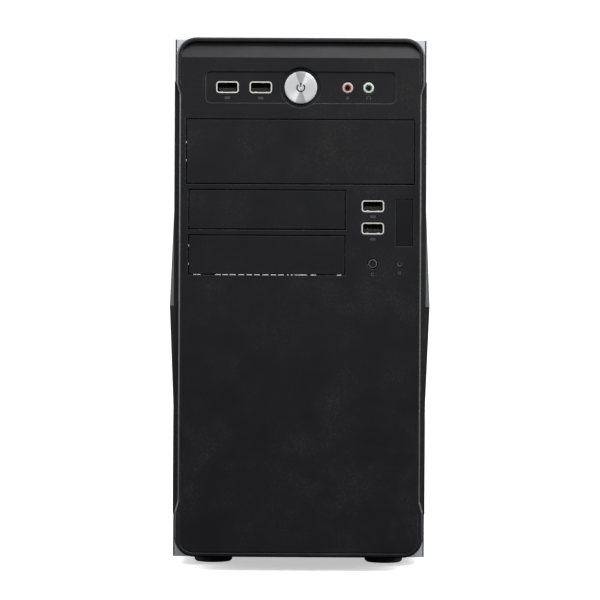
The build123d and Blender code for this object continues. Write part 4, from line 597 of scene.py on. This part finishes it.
def make_finishes():
    """All materials of the tower by plain name."""
    colours = bpy.context.scene.tower_colours
    plastic, dark = tuple(colours.plastic), tuple(colours.dark_plastic)
    steel, bright, board = tuple(colours.steel), tuple(colours.bright_steel), tuple(colours.board)
    made = [
        # the front and cover plastics take very large edge gains: a painted highlight line along all their
        # edges
        moulded("front_plastic", plastic, wear_and_highlight_gain=34.0, edge=0.50 * MM, wear_and_highlight_low=0.4),
        moulded("cover_plastic", shaded(plastic, 0.96), wear_and_highlight_gain=12.0, edge=0.22 * MM),
        moulded("dark_plastic", dark, 0.52, 2.0, 0.2),
        # near-white plastic finish given to small steel parts: painted highlight standing for their shine
        moulded("painted_highlight_white", (0.97, 0.95, 0.88), 0.32, 1.0, 0.0, grain_depth=0.002 * MM, edge=0.05 * MM),
        moulded("microphone_pink", tuple(colours.microphone), 0.4, 1.3, 0.05),
        moulded("headphone_green", tuple(colours.headphone), 0.4, 1.2, 0.05),
        moulded("chip_epoxy", (0.014, 0.014, 0.015), 0.55, 2.0, 0.05, grain=5200.0),
        moulded("sticker_paper", (0.52, 0.53, 0.54), 0.42, 1.1, 0.1, grain=900.0),
        moulded("printed_mark", tuple(colours.mark), 0.6, 1.2, 0.05),
        zinc_sheet("zinc_sheet", steel, metallic=0.85),
        # lighter and less metallic copy of the zinc sheet: painted light that makes the front frame read bright
        zinc_sheet("painted_lit_front_steel", shaded(steel, 1.7), metallic=0.3),
        painted_sheet("painted_sheet", tuple(colours.paint)),
        plain_metal("plated_steel", bright, roughness=0.24),
        plain_metal("shell_steel", shaded(bright, 1.1), roughness=0.2, mottle=0.12),
        plain_metal("shield_steel", shaded(bright, 0.9), roughness=0.3, line_scale=(900.0, 900.0, 40.0)),
        spun_metal("spun_button", tuple(colours.button)),
        circuit_board("main_board_green", board, (0.0, 1.0, 1.0)),
        circuit_board("port_board_green", board, (1.0, 0.0, 1.0)),
        gloss_plate("gloss_black", (0.004, 0.004, 0.005)),
        clear_lens("lamp_lens", (0.010, 0.010, 0.012)),
        rubber("foot_rubber", tuple(colours.rubber)),
    ]
    made += [moulded(name, *values) for name, values in SMALL_MOULDINGS.items()]
    made += [plain_metal(name, *values) for name, values in METALS.items()]
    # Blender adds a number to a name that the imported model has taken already.
    return {material.name.split(".")[0]: material for material in made}


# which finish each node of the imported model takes
NODE_FINISHES = {
    "front_plastic": ["front_bezel", "reset_button"],
    "cover_plastic": ["bay_cover_large", "bay_cover_upper", "bay_cover_lower"],
    "dark_plastic": [
        "left_side_grille", "right_side_grille", "button_housing", "usb_tongues", "button_switches",
        "power_button_carrier", "processor_fan_frame", "processor_fan_rotor", "memory_slots",
        "expansion_sockets", "power_supply_fan", "mains_inlet", "mains_rocker", "rear_fan_frame",
        "rear_fan_rotor", "supply_loom", "drive_data_cable", "front_panel_leads",
    ],
    "zinc_sheet": [
        "base_pan", "top_cover", "rear_panel", "board_tray", "drive_cage_left",
        "drive_cage_right", "drive_cage_inner", "slot_covers", "power_supply_case",
    ],
    "painted_lit_front_steel": ["front_frame"],
    "painted_sheet": ["left_panel", "right_panel"],
    "plated_steel": [
        "chassis_rivets", "case_screws", "thumbscrew_left_upper", "thumbscrew_left_lower",
        "thumbscrew_right_upper", "thumbscrew_right_lower", "power_supply_guard", "rear_ports", "processor",
    ],
    "shell_steel": ["top_usb_shells", "side_usb_shells"],
    "shield_steel": ["io_shield"],
    "heatsink_aluminium": ["processor_heatsink"],
    "cast_aluminium": ["hard_drive"],
    "brass": ["standoffs"],
    "spun_button": ["power_button"],
    "microphone_pink": ["microphone_jack"],
    "headphone_green": ["headphone_jack"],
    "main_board_green": ["main_board", "memory_module"],
    "port_board_green": ["top_port_boards", "side_port_board"],
    "gloss_black": ["blank_badge"],
    "lamp_lens": ["activity_lamp"],
    "foot_rubber": ["feet"],
}


# ---------------------------------------------------------------- operators
class TOWER_OT_finishes(bpy.types.Operator):
    """Makes every finish and gives each solid of the tower its own"""

    bl_idname = "tower.finishes"
    bl_label = "Finishes"

    def execute(self, context):
        finishes = make_finishes()
        for finish_name, nodes in NODE_FINISHES.items():
            for node in nodes:
                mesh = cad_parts[node].data
                mesh.materials.clear()
                mesh.materials.append(finishes[finish_name])
        return {"FINISHED"}


class TOWER_OT_power_button(bpy.types.Operator):
    """Turned face of the power button with its mark"""

    bl_idname = "tower.power_button"
    bl_label = "Power button"

    def execute(self, context):
        sizes = context.scene.tower_sizes
        low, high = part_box("power_button")
        centre = (low + high) / 2
        radius = (high.x - low.x) / 2
        depth = high.y - low.y
        where = facing(centre.x, high.y, centre.z)
        bm = bmesh.new()
        edge, dish, behind, corner = mm(0.5, 0.12, 0.1, 0.05)
        profile = disc_profile(radius, depth, edge)
        profile += [(radius * share, depth - dish * (1 - share)) for share in (0.8, 0.55, 0.3, 0.12, 0.0)]
        add_turned(bm, profile, where, steps=96)
        face = keep(bm, "power_button_face", "spun_button", "power_button_body")
        inverse = where.inverted()
        polar = face.data.uv_layers.new(name="polar")
        for polygon in face.data.polygons:
            middle = inverse @ polygon.center
            middle_turn = math.atan2(middle.y, middle.x)
            for loop in polygon.loop_indices:
                local = inverse @ face.data.vertices[face.data.loops[loop].vertex_index].co
                reach = math.hypot(local.x, local.y)
                turn = math.atan2(local.y, local.x) if reach > 1e-6 else middle_turn
                turn += 2 * math.pi * round((middle_turn - turn) / (2 * math.pi))
                polar.data[loop].uv = (turn / (2 * math.pi), reach / radius)
        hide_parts("power_button")

        bm = bmesh.new()
        top = facing(centre.x, low.y + behind, centre.z)
        ring, line = sizes.symbol_radius, sizes.symbol_line
        height = sizes.mark_height + behind
        add_arc(bm, ring, line, height, math.radians(128), math.radians(284), top, steps=40)
        add_box(bm, (-line / 2, ring * 0.25, 0), (line / 2, ring * 1.25, height), corner, 1, top)
        keep(bm, "power_button_mark", "dark_mark", "power_button_body")
        return {"FINISHED"}


class TOWER_OT_front_marks(bpy.types.Operator):
    """Small generic pictograms printed beside the front sockets and buttons"""

    bl_idname = "tower.front_marks"
    bl_label = "Front marks"

    def execute(self, context):
        lift, recess = mm(0.02, 0.8)
        rise = context.scene.tower_sizes.mark_height - lift
        face_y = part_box("front_bezel")[0].y - lift
        recess_y = face_y + recess

        def under(node, y, drop):
            """Placement drop millimetres under a node's middle."""
            middle = middle_of(node)
            return facing(middle.x, y, middle.z - drop * MM)

        bm = bmesh.new()
        for x, z in SOCKET_PLACES:
            plug = facing(x, recess_y if z > RECESS_Z else face_y, z - 7.0 * MM)
            add_frame(bm, *mm(3.4, 1.5, 0.2, 0.3), rise, plug)
            add_box(bm, (*mm(-1.1, -0.1), 0), (*mm(1.1, 0.15), rise), matrix=plug)
        microphone = under("microphone_jack", recess_y, 6.4)
        add_frame(bm, *mm(0.9, 1.6, 0.4, 0.25), rise, microphone)
        add_arc(bm, *mm(1.0, 0.22), rise, math.radians(190), math.radians(160), microphone, 12)
        add_box(bm, (*mm(-0.11, -1.6), 0), (*mm(0.11, -1.0), rise), matrix=microphone)
        headphone = under("headphone_jack", recess_y, 6.6)
        add_arc(bm, *mm(1.2, 0.25), rise, 0.0, math.pi, headphone, 16)
        for side in (-1.2, 1.2):
            add_box(bm, (*mm(side - 0.3, -0.9), 0), (*mm(side + 0.3, 0.1), rise), matrix=headphone)
        arrow = under("reset_button", face_y, 7.0)
        add_arc(bm, *mm(1.0, 0.25), rise, math.radians(60), math.radians(270), arrow, 16)
        add_box(bm, (*mm(0.0, 0.6), 0), (*mm(0.75, 1.1), rise), matrix=arrow)
        add_frame(bm, *mm(1.6, 1.7, 0.5, 0.22), rise, under("activity_lamp", face_y, 6.0))
        keep(bm, "printed_pictograms", "printed_mark")
        return {"FINISHED"}


class TOWER_OT_socket_details(bpy.types.Operator):
    """Flared lips, springs and contacts of the front sockets, and the metal inside the jacks"""

    bl_idname = "tower.socket_details"
    bl_label = "Socket details"

    def execute(self, context):
        shell_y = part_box("top_usb_shells")[0].y
        tongue_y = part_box("usb_tongues")[0].y
        lips, springs, contacts = bmesh.new(), bmesh.new(), bmesh.new()
        for x, z in SOCKET_PLACES:
            add_frame(lips, *SOCKET_LIP, facing(x, shell_y + SOCKET_LIP_BACK, z))
            for across, up in SPRING_PLACES:
                add_box(springs, *SPRING, 1, Matrix.Translation((x + across, shell_y, z + up)))
            for across, up in CONTACT_PLACES:
                add_box(contacts, *CONTACT, 1, Matrix.Translation((x + across, tongue_y, z + up)))
        # the lips take the near-white finish, a painted highlight on their steel
        keep(lips, "usb_socket_lips", "painted_highlight_white")
        keep(springs, "usb_socket_springs", "shell_steel")
        keep(contacts, "usb_socket_contacts", "gold_contact")
        sleeves = bmesh.new()
        for node in ("microphone_jack", "headphone_jack"):
            centre, front = middle_of(node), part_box(node)[0].y
            add_tube(sleeves, *JACK_SLEEVE, facing(centre.x, front + 6.0 * MM, centre.z))
        keep(sleeves, "jack_sleeves", "plated_steel")
        collars = (
            # dark rings of the jack colours: painted shade in the jack throats
            ("microphone_jack", JACK_THROAT_SHADE, 0.3, "microphone_throat_shade", "microphone_throat_shade", "chassis"),
            ("headphone_jack", JACK_THROAT_SHADE, 0.3, "headphone_throat_shade", "headphone_throat_shade", "chassis"),
            # grey rings at the lamp and the reset button: painted highlight on their rims
            ("activity_lamp", LAMP_RIM_HIGHLIGHT, 0.0, "lamp_rim_highlight", "painted_highlight_grey", "chassis"),
            ("reset_button", RESET_RIM_HIGHLIGHT, 0.02, "reset_rim_highlight", "painted_highlight_grey", "reset_button_body"),
        )
        for node, size, back, name, finish, body in collars:
            centre, front = middle_of(node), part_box(node)[0].y
            bm = bmesh.new()
            add_tube(bm, *size, facing(centre.x, front + back * MM, centre.z))
            keep(bm, name, finish, body)
        return {"FINISHED"}


class TOWER_OT_cover_clips(bpy.types.Operator):
    """Catch-shaped tabs beside the bay covers and dashes under the lowest one, in a near-white finish that
    paints their highlights
    """

    bl_idname = "tower.cover_clips"
    bl_label = "Cover clips"

    def execute(self, context):
        for node, body in (("bay_cover_large", "large_cover"), ("bay_cover_lower", "lower_cover")):
            low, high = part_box(node)
            bm = bmesh.new()
            # two near-white tabs at the cover's edge: painted highlights where catches glint
            for offset in (-CATCH_GLINT_GAP / 2, CATCH_GLINT_GAP / 2):
                at = Matrix.Translation((low.x + 0.5 * MM, low.y, (low.z + high.z) / 2 + offset))
                add_box(bm, *CATCH_GLINT, 2, at)
            keep(bm, f"{node}_catch_glints", "painted_highlight_white", body)
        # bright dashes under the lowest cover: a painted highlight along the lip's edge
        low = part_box("bay_cover_lower")[0]
        bm = bmesh.new()
        for start, length in LIP_HIGHLIGHT_DASHES:
            at = Matrix.Translation((start * MM, low.y, low.z))
            add_box(bm, mm(0.0, 0.15, -0.52), mm(length, 1.4, -0.06), 0.04 * MM, 1, at)
        keep(bm, "lower_bay_painted_highlight", "painted_highlight_white")
        return {"FINISHED"}


class TOWER_OT_rear_details(bpy.types.Operator):
    """Wire guard, inserts and contacts of the rear connectors, inlet pins and switch marks"""

    bl_idname = "tower.rear_details"
    bl_label = "Rear details"

    def execute(self, context):
        self.guard()
        self.ports()
        self.mains()
        return {"FINISHED"}

    def guard(self):
        low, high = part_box("power_supply_guard")
        centre = (low + high) / 2
        wire = GUARD_WIRE
        outer = (high.x - low.x) / 2 - wire
        bm = bmesh.new()
        for share in (1.0, 0.8, 0.6, 0.4, 0.2):
            add_hoop(bm, outer * share, wire, facing_rear(centre.x, high.y - wire, centre.z))
        spoke_y = low.y + wire
        for turn in (math.pi / 4, 3 * math.pi / 4):
            reach = Vector((math.cos(turn), 0, math.sin(turn))) * (outer + wire * 0.5)
            middle = Vector((centre.x, spoke_y, centre.z))
            add_rod(bm, middle - reach, middle + reach, wire * 0.9)
        guard = keep(bm, "supply_wire_guard", "plated_steel")
        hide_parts("power_supply_guard")

    def ports(self):
        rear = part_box("rear_ports")[1].y
        for name, x in zip(("jack_blue", "jack_green", "jack_pink"), AUDIO_X):
            bm = bmesh.new()
            add_tube(bm, *AUDIO_COLLAR, facing_rear(x, rear - COLLAR_SUNK, AUDIO_Z))
            keep(bm, f"audio_{name}", name)
        bm = bmesh.new()
        add_tube(bm, *KEYBOARD_COLLAR, facing_rear(KEYBOARD[0], rear - COLLAR_SUNK, KEYBOARD[1]))
        keep(bm, "keyboard_collar", "jack_purple")
        contacts, blue = bmesh.new(), bmesh.new()
        video = facing_rear(VIDEO[0], rear - 1.0 * MM, VIDEO[1])
        add_box(blue, mm(-2.7, -7.2, -0.3), mm(2.7, 7.2, 0.25), 0.2 * MM, 1, video)
        keep(blue, "video_insert", "jack_blue")
        hole, hole_height, post, post_height = mm(0.42, 0.34, 2.3, 0.1)
        for row in range(3):
            for pin in range(5):
                at = mm((row - 1) * 1.7, (pin - 2) * 2.3 + (row % 2) * 1.1 - 0.5, 0)
                add_disc(contacts, hole, hole_height, video @ Matrix.Translation(at), 10)
        for drop in mm(-12.4, 12.4):
            at = facing_rear(VIDEO[0], rear - 0.02 * MM, VIDEO[1] + drop)
            add_disc(contacts, post, post_height, at, 6)
        for i in range(8):
            at = Matrix.Translation((NETWORK[0], rear, NETWORK[1] + (i - 3.5) * 1.02 * MM))
            add_box(contacts, mm(-5.2, -7.5, -0.2), mm(-4.2, -2.0, 0.2), matrix=at)
        keep(contacts, "rear_contacts", "gold_contact")

    def mains(self):
        low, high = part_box("mains_inlet")
        centre_x = (low.x + high.x) / 2
        pins = bmesh.new()
        for x, z in mm(-7.0, -2.0), mm(0.0, 2.5), mm(7.0, -2.0):
            at = Matrix.Translation((centre_x + x, high.y, INLET_Z + z))
            add_box(pins, mm(-1.1, -14.9, -2.1), mm(1.1, -1.6, 2.1), 0.35 * MM, 2, at)
        keep(pins, "mains_inlet_pins", "plated_steel")
        rocker = middle_of("mains_rocker")
        sheet, axis_depth, across, reach = mm(0.8, 6.0, 4.6, 7.48)
        pivot_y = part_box("rear_panel")[1].y - sheet - axis_depth
        pivot = Matrix.Translation((centre_x, pivot_y, rocker.z))
        marks = bmesh.new()
        add_hoop(marks, *mm(1.5, 0.16), pivot @ facing_rear(-across, reach, 0.0), 32)
        raised = pivot @ Matrix.Rotation(SWITCH_THROW, 4, "Z") @ facing_rear(across, reach, 0.0)
        add_box(marks, mm(-0.2, -1.7, 0), mm(0.2, 1.7, 0.08), matrix=raised)
        keep(marks, "mains_switch_marks", "white_print", "mains_switch")


class TOWER_OT_board_parts(bpy.types.Operator):
    """Chips, capacitors, coils, heatsinks and connectors on the main board"""

    bl_idname = "tower.board_parts"
    bl_label = "Board parts"

    def execute(self, context):
        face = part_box("main_board")[0].x

        def on_board(y, z, rise=0.0):
            return facing_left(face, y * MM, z * MM) @ Matrix.Translation((0, 0, rise * MM))

        def block(bm, y, z, across, up, tall, bevel=0.3, rise=0.0):
            corner = mm(across / 2, up / 2, rise + tall)
            add_box(bm, (-corner[0], -corner[1], rise * MM), corner, bevel * MM, 1, on_board(y, z))

        chips, sinks, cans, tops, white, black, metal, small = [bmesh.new() for step in range(8)]
        for y, z, across, up, tall in CHIPS:
            block(chips, y, z, across, up, tall, 0.15)
        for y, z in COILS:
            block(chips, y, z, 8.5, 8.5, 6.5, 0.8)
        for y, z, radius, tall in CAPACITORS:
            add_disc(cans, radius * MM, tall * MM, on_board(y, z), 20, 0.5 * MM)
            add_disc(tops, radius * 0.8 * MM, 0.08 * MM, on_board(y, z, tall), 20)
        for y, z, across, up, fins in SINKS:
            block(sinks, y, z, across, up, 3.0, 0.3)
            fin, run = 1.2, across - 1.2
            for i in range(fins):
                block(sinks, y - run / 2 + i * run / (fins - 1), z, fin, up - 0.8, 9.0, 0.2, 2.6)
        for y, z, across, up, tall in WHITE_PARTS:
            block(white, y, z, across, up, tall, 0.3)
        for y, z, across, up, tall in BLACK_PARTS:
            block(black, y, z, across, up, tall, 0.3)
        cell, cell_holder = (10.0 * MM, 3.2 * MM), (23.0, 23.0, 2.0)
        add_disc(metal, *cell, on_board(58.0, 40.0, 1.5), 40, 0.6 * MM)
        block(black, 58.0, 40.0, *cell_holder, 0.6)
        block(metal, 72.0, 150.0, 11.0, 4.5, 3.5, 1.2)
        scatter = random.Random(11)
        placed = 0
        while placed < SMALL_PARTS:
            y, z = scatter.uniform(4.0, 168.0), scatter.uniform(22.0, 258.0)
            if any(abs(y - ky) < kw and abs(z - kz) < kh for ky, kz, kw, kh in KEEP_CLEAR):
                continue
            upright = scatter.random() < 0.5
            across, up = (1.0, 2.0) if upright else (2.0, 1.0)
            target = small if scatter.random() < 0.6 else chips
            block(target, y, z, across, up, 0.7, 0.0)
            placed += 1
        for bm, name, finish, slot in (
            (chips, "board_chips", "chip_epoxy", "dark_plastic"),
            (sinks, "board_heatsinks", "heatsink_aluminium", "heatsink_aluminium"),
            (cans, "capacitor_cans", "capacitor_sleeve", "dark_plastic"),
            (tops, "capacitor_tops", "plated_steel", "screw_steel"),
            (white, "white_connectors", "white_nylon", "dark_plastic"),
            (black, "black_connectors", "dark_plastic", "dark_plastic"),
            (metal, "cell_and_crystal", "plated_steel", "screw_steel"),
            (small, "chip_resistors", "tinned_ceramic", "screw_steel"),
        ):
            keep(bm, name, finish)
        return {"FINISHED"}


class TOWER_OT_labels(bpy.types.Operator):
    """Blank stickers on the power supply, hard drive and fan hub"""

    bl_idname = "tower.labels"
    bl_label = "Blank labels"

    def execute(self, context):
        corner = 0.04 * MM
        low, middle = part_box("power_supply_case")[0], middle_of("power_supply_case")
        bm = bmesh.new()
        side = facing_left(low.x, middle.y, middle.z)
        add_box(bm, mm(-46, -27, 0), mm(46, 27, 0.12), corner, 1, side)
        keep(bm, "power_supply_sticker", "sticker_paper")
        high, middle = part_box("hard_drive")[1], middle_of("hard_drive")
        bm = bmesh.new()
        top = Matrix.Translation((middle.x, middle.y, high.z))
        add_box(bm, mm(-42, -44, 0), mm(42, 20, 0.1), corner, 1, top)
        keep(bm, "hard_drive_sticker", "sticker_paper")
        low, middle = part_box("processor_fan_rotor")[0], middle_of("processor_fan_rotor")
        bm = bmesh.new()
        add_disc(bm, *mm(9.5, 0.1), facing_left(low.x, middle.y, middle.z), 40)
        keep(bm, "processor_fan_sticker", "sticker_paper", "processor_fan")
        return {"FINISHED"}


class TOWER_OT_stage(bpy.types.Operator):
    """Pale floor, soft lights and the camera"""

    bl_idname = "tower.stage"
    bl_label = "Stage"

    def execute(self, context):
        scene = context.scene
        sizes = scene.tower_sizes
        low, high = CAD_BOX
        front_y = low[1]
        self.floor(scene)
        self.world(scene)
        rear_y = high[1]
        side_y = front_y + 0.12
        for name, place_at, aim, size, power in (
            ("overhead_softbox", (0.55, front_y - 0.80, 1.30), (0.02, front_y, 0.34), (1.3, 0.5), 13.0),
            ("left_softbox", (-1.15, side_y, 0.55), (-0.05, front_y + 0.1, 0.25), (0.5, 1.0), 14.0),
            ("right_softbox", (1.15, side_y, 0.55), (0.05, front_y + 0.1, 0.25), (0.5, 1.0), 14.0),
            ("rear_softbox", (0.2, rear_y + 1.9, 0.45), (0, rear_y, 0.2), (2.4, 0.9), 13.0),
        ):
            self.light(scene, name, place_at, aim, size, power)
        camera = bpy.data.cameras.new("camera")
        camera.lens = 136.4
        camera.sensor_width = 36.0
        camera.clip_end = 50.0
        eye = bpy.data.objects.new("camera", camera)
        eye.location = (0.0002, front_y - sizes.camera_distance, sizes.camera_height)
        eye.rotation_euler = (math.pi / 2, math.radians(-0.3), 0.0)
        scene.collection.objects.link(eye)
        scene.camera = eye
        scene.view_settings.view_transform = "Standard"
        return {"FINISHED"}

    def floor(self, scene):
        """Round white floor whose edge curves up all the way round."""
        flat, curve, rise, steps = 5.0, 2.0, 5.0, 10
        bm = bmesh.new()
        profile = [(0.0, 0.0), (0.6, 0.0), (2.0, 0.0), (flat, 0.0)]
        profile += [
            (flat + curve * math.sin(turn), curve - curve * math.cos(turn))
            for turn in [math.pi / 2 * i / steps for i in range(1, steps + 1)]
        ]
        profile.append((flat + curve, rise))
        add_turned(bm, profile, Matrix.Identity(4), steps=64)
        bmesh.ops.recalc_face_normals(bm, faces=bm.faces)
        bmesh.ops.reverse_faces(bm, faces=bm.faces)
        mesh = bpy.data.meshes.new("floor")
        bm.to_mesh(mesh)
        bm.free()
        mesh.polygons.foreach_set("use_smooth", [True] * len(mesh.polygons))
        finish = Finish("floor_paper", (0.92, 0.92, 0.92), roughness=0.9)
        finish.set("Specular IOR Level", 0.1)
        finish.set("Emission Color", (1.0, 1.0, 1.0))
        finish.set("Emission Strength", 0.5)
        mesh.materials.append(finish.material)
        floor = bpy.data.objects.new("floor", mesh)
        floor.visible_diffuse = False
        floor.visible_glossy = False
        floor.visible_shadow = False
        scene.collection.objects.link(floor)

    def world(self, scene):
        """Even studio air: dim below, brighter above."""
        world = bpy.data.worlds.new("studio")
        world.use_nodes = True
        tree = world.node_tree
        background = tree.nodes["Background"]
        direction = tree.nodes.new("ShaderNodeTexCoord")
        split = tree.nodes.new("ShaderNodeSeparateXYZ")
        height = tree.nodes.new("ShaderNodeMapRange")
        height.interpolation_type = "SMOOTHSTEP"
        for key, number in (("From Min", -0.16), ("From Max", 0.60), ("To Min", 0.02), ("To Max", 1.1)):
            height.inputs[key].default_value = number
        tree.links.new(direction.outputs["Generated"], split.inputs["Vector"])
        tree.links.new(split.outputs["Z"], height.inputs["Value"])
        tree.links.new(height.outputs["Result"], background.inputs["Strength"])
        background.inputs["Color"].default_value = (0.96, 0.98, 1.0, 1.0)
        scene.world = world

    def light(self, scene, name, place_at, aim, size, power):
        """Rectangular light that shines from place_at towards aim."""
        lamp = bpy.data.lights.new(name, "AREA")
        lamp.shape = "RECTANGLE"
        lamp.size, lamp.size_y = size
        lamp.energy = power
        holder = bpy.data.objects.new(name, lamp)
        holder.location = place_at
        holder.rotation_euler = (Vector(aim) - Vector(place_at)).to_track_quat("-Z", "Y").to_euler()
        scene.collection.objects.link(holder)


class TOWER_PT_panel(bpy.types.Panel):
    """Lists the tower's sizes, colours and steps"""

    bl_label = "Desktop tower"
    bl_idname = "TOWER_PT_panel"
    bl_space_type = "VIEW_3D"
    bl_region_type = "UI"
    bl_category = "Tower"

    def draw(self, context):
        layout = self.layout
        for group in (context.scene.tower_sizes, context.scene.tower_colours):
            box = layout.box()
            for key in group.__annotations__:
                box.prop(group, key)
        for step in STEPS:
            layout.operator(step.bl_idname)


STEPS = (
    TOWER_OT_stage,
    TOWER_OT_finishes,
    TOWER_OT_power_button,
    TOWER_OT_front_marks,
    TOWER_OT_socket_details,
    TOWER_OT_cover_clips,
    TOWER_OT_rear_details,
    TOWER_OT_board_parts,
    TOWER_OT_labels,
)
CLASSES = (TowerColours, TowerSizes, *STEPS, TOWER_PT_panel)


def register():
    for cls in CLASSES:
        bpy.utils.register_class(cls)
    bpy.types.Scene.tower_colours = bpy.props.PointerProperty(type=TowerColours)
    bpy.types.Scene.tower_sizes = bpy.props.PointerProperty(type=TowerSizes)


def unregister():
    del bpy.types.Scene.tower_sizes
    del bpy.types.Scene.tower_colours
    for cls in reversed(CLASSES):
        bpy.utils.unregister_class(cls)


def main():
    """Builds the scene."""
    register()
    for step in STEPS:
        group, name = step.bl_idname.split(".")
        getattr(getattr(bpy.ops, group), name)()


if __name__ == "__main__":
    main()
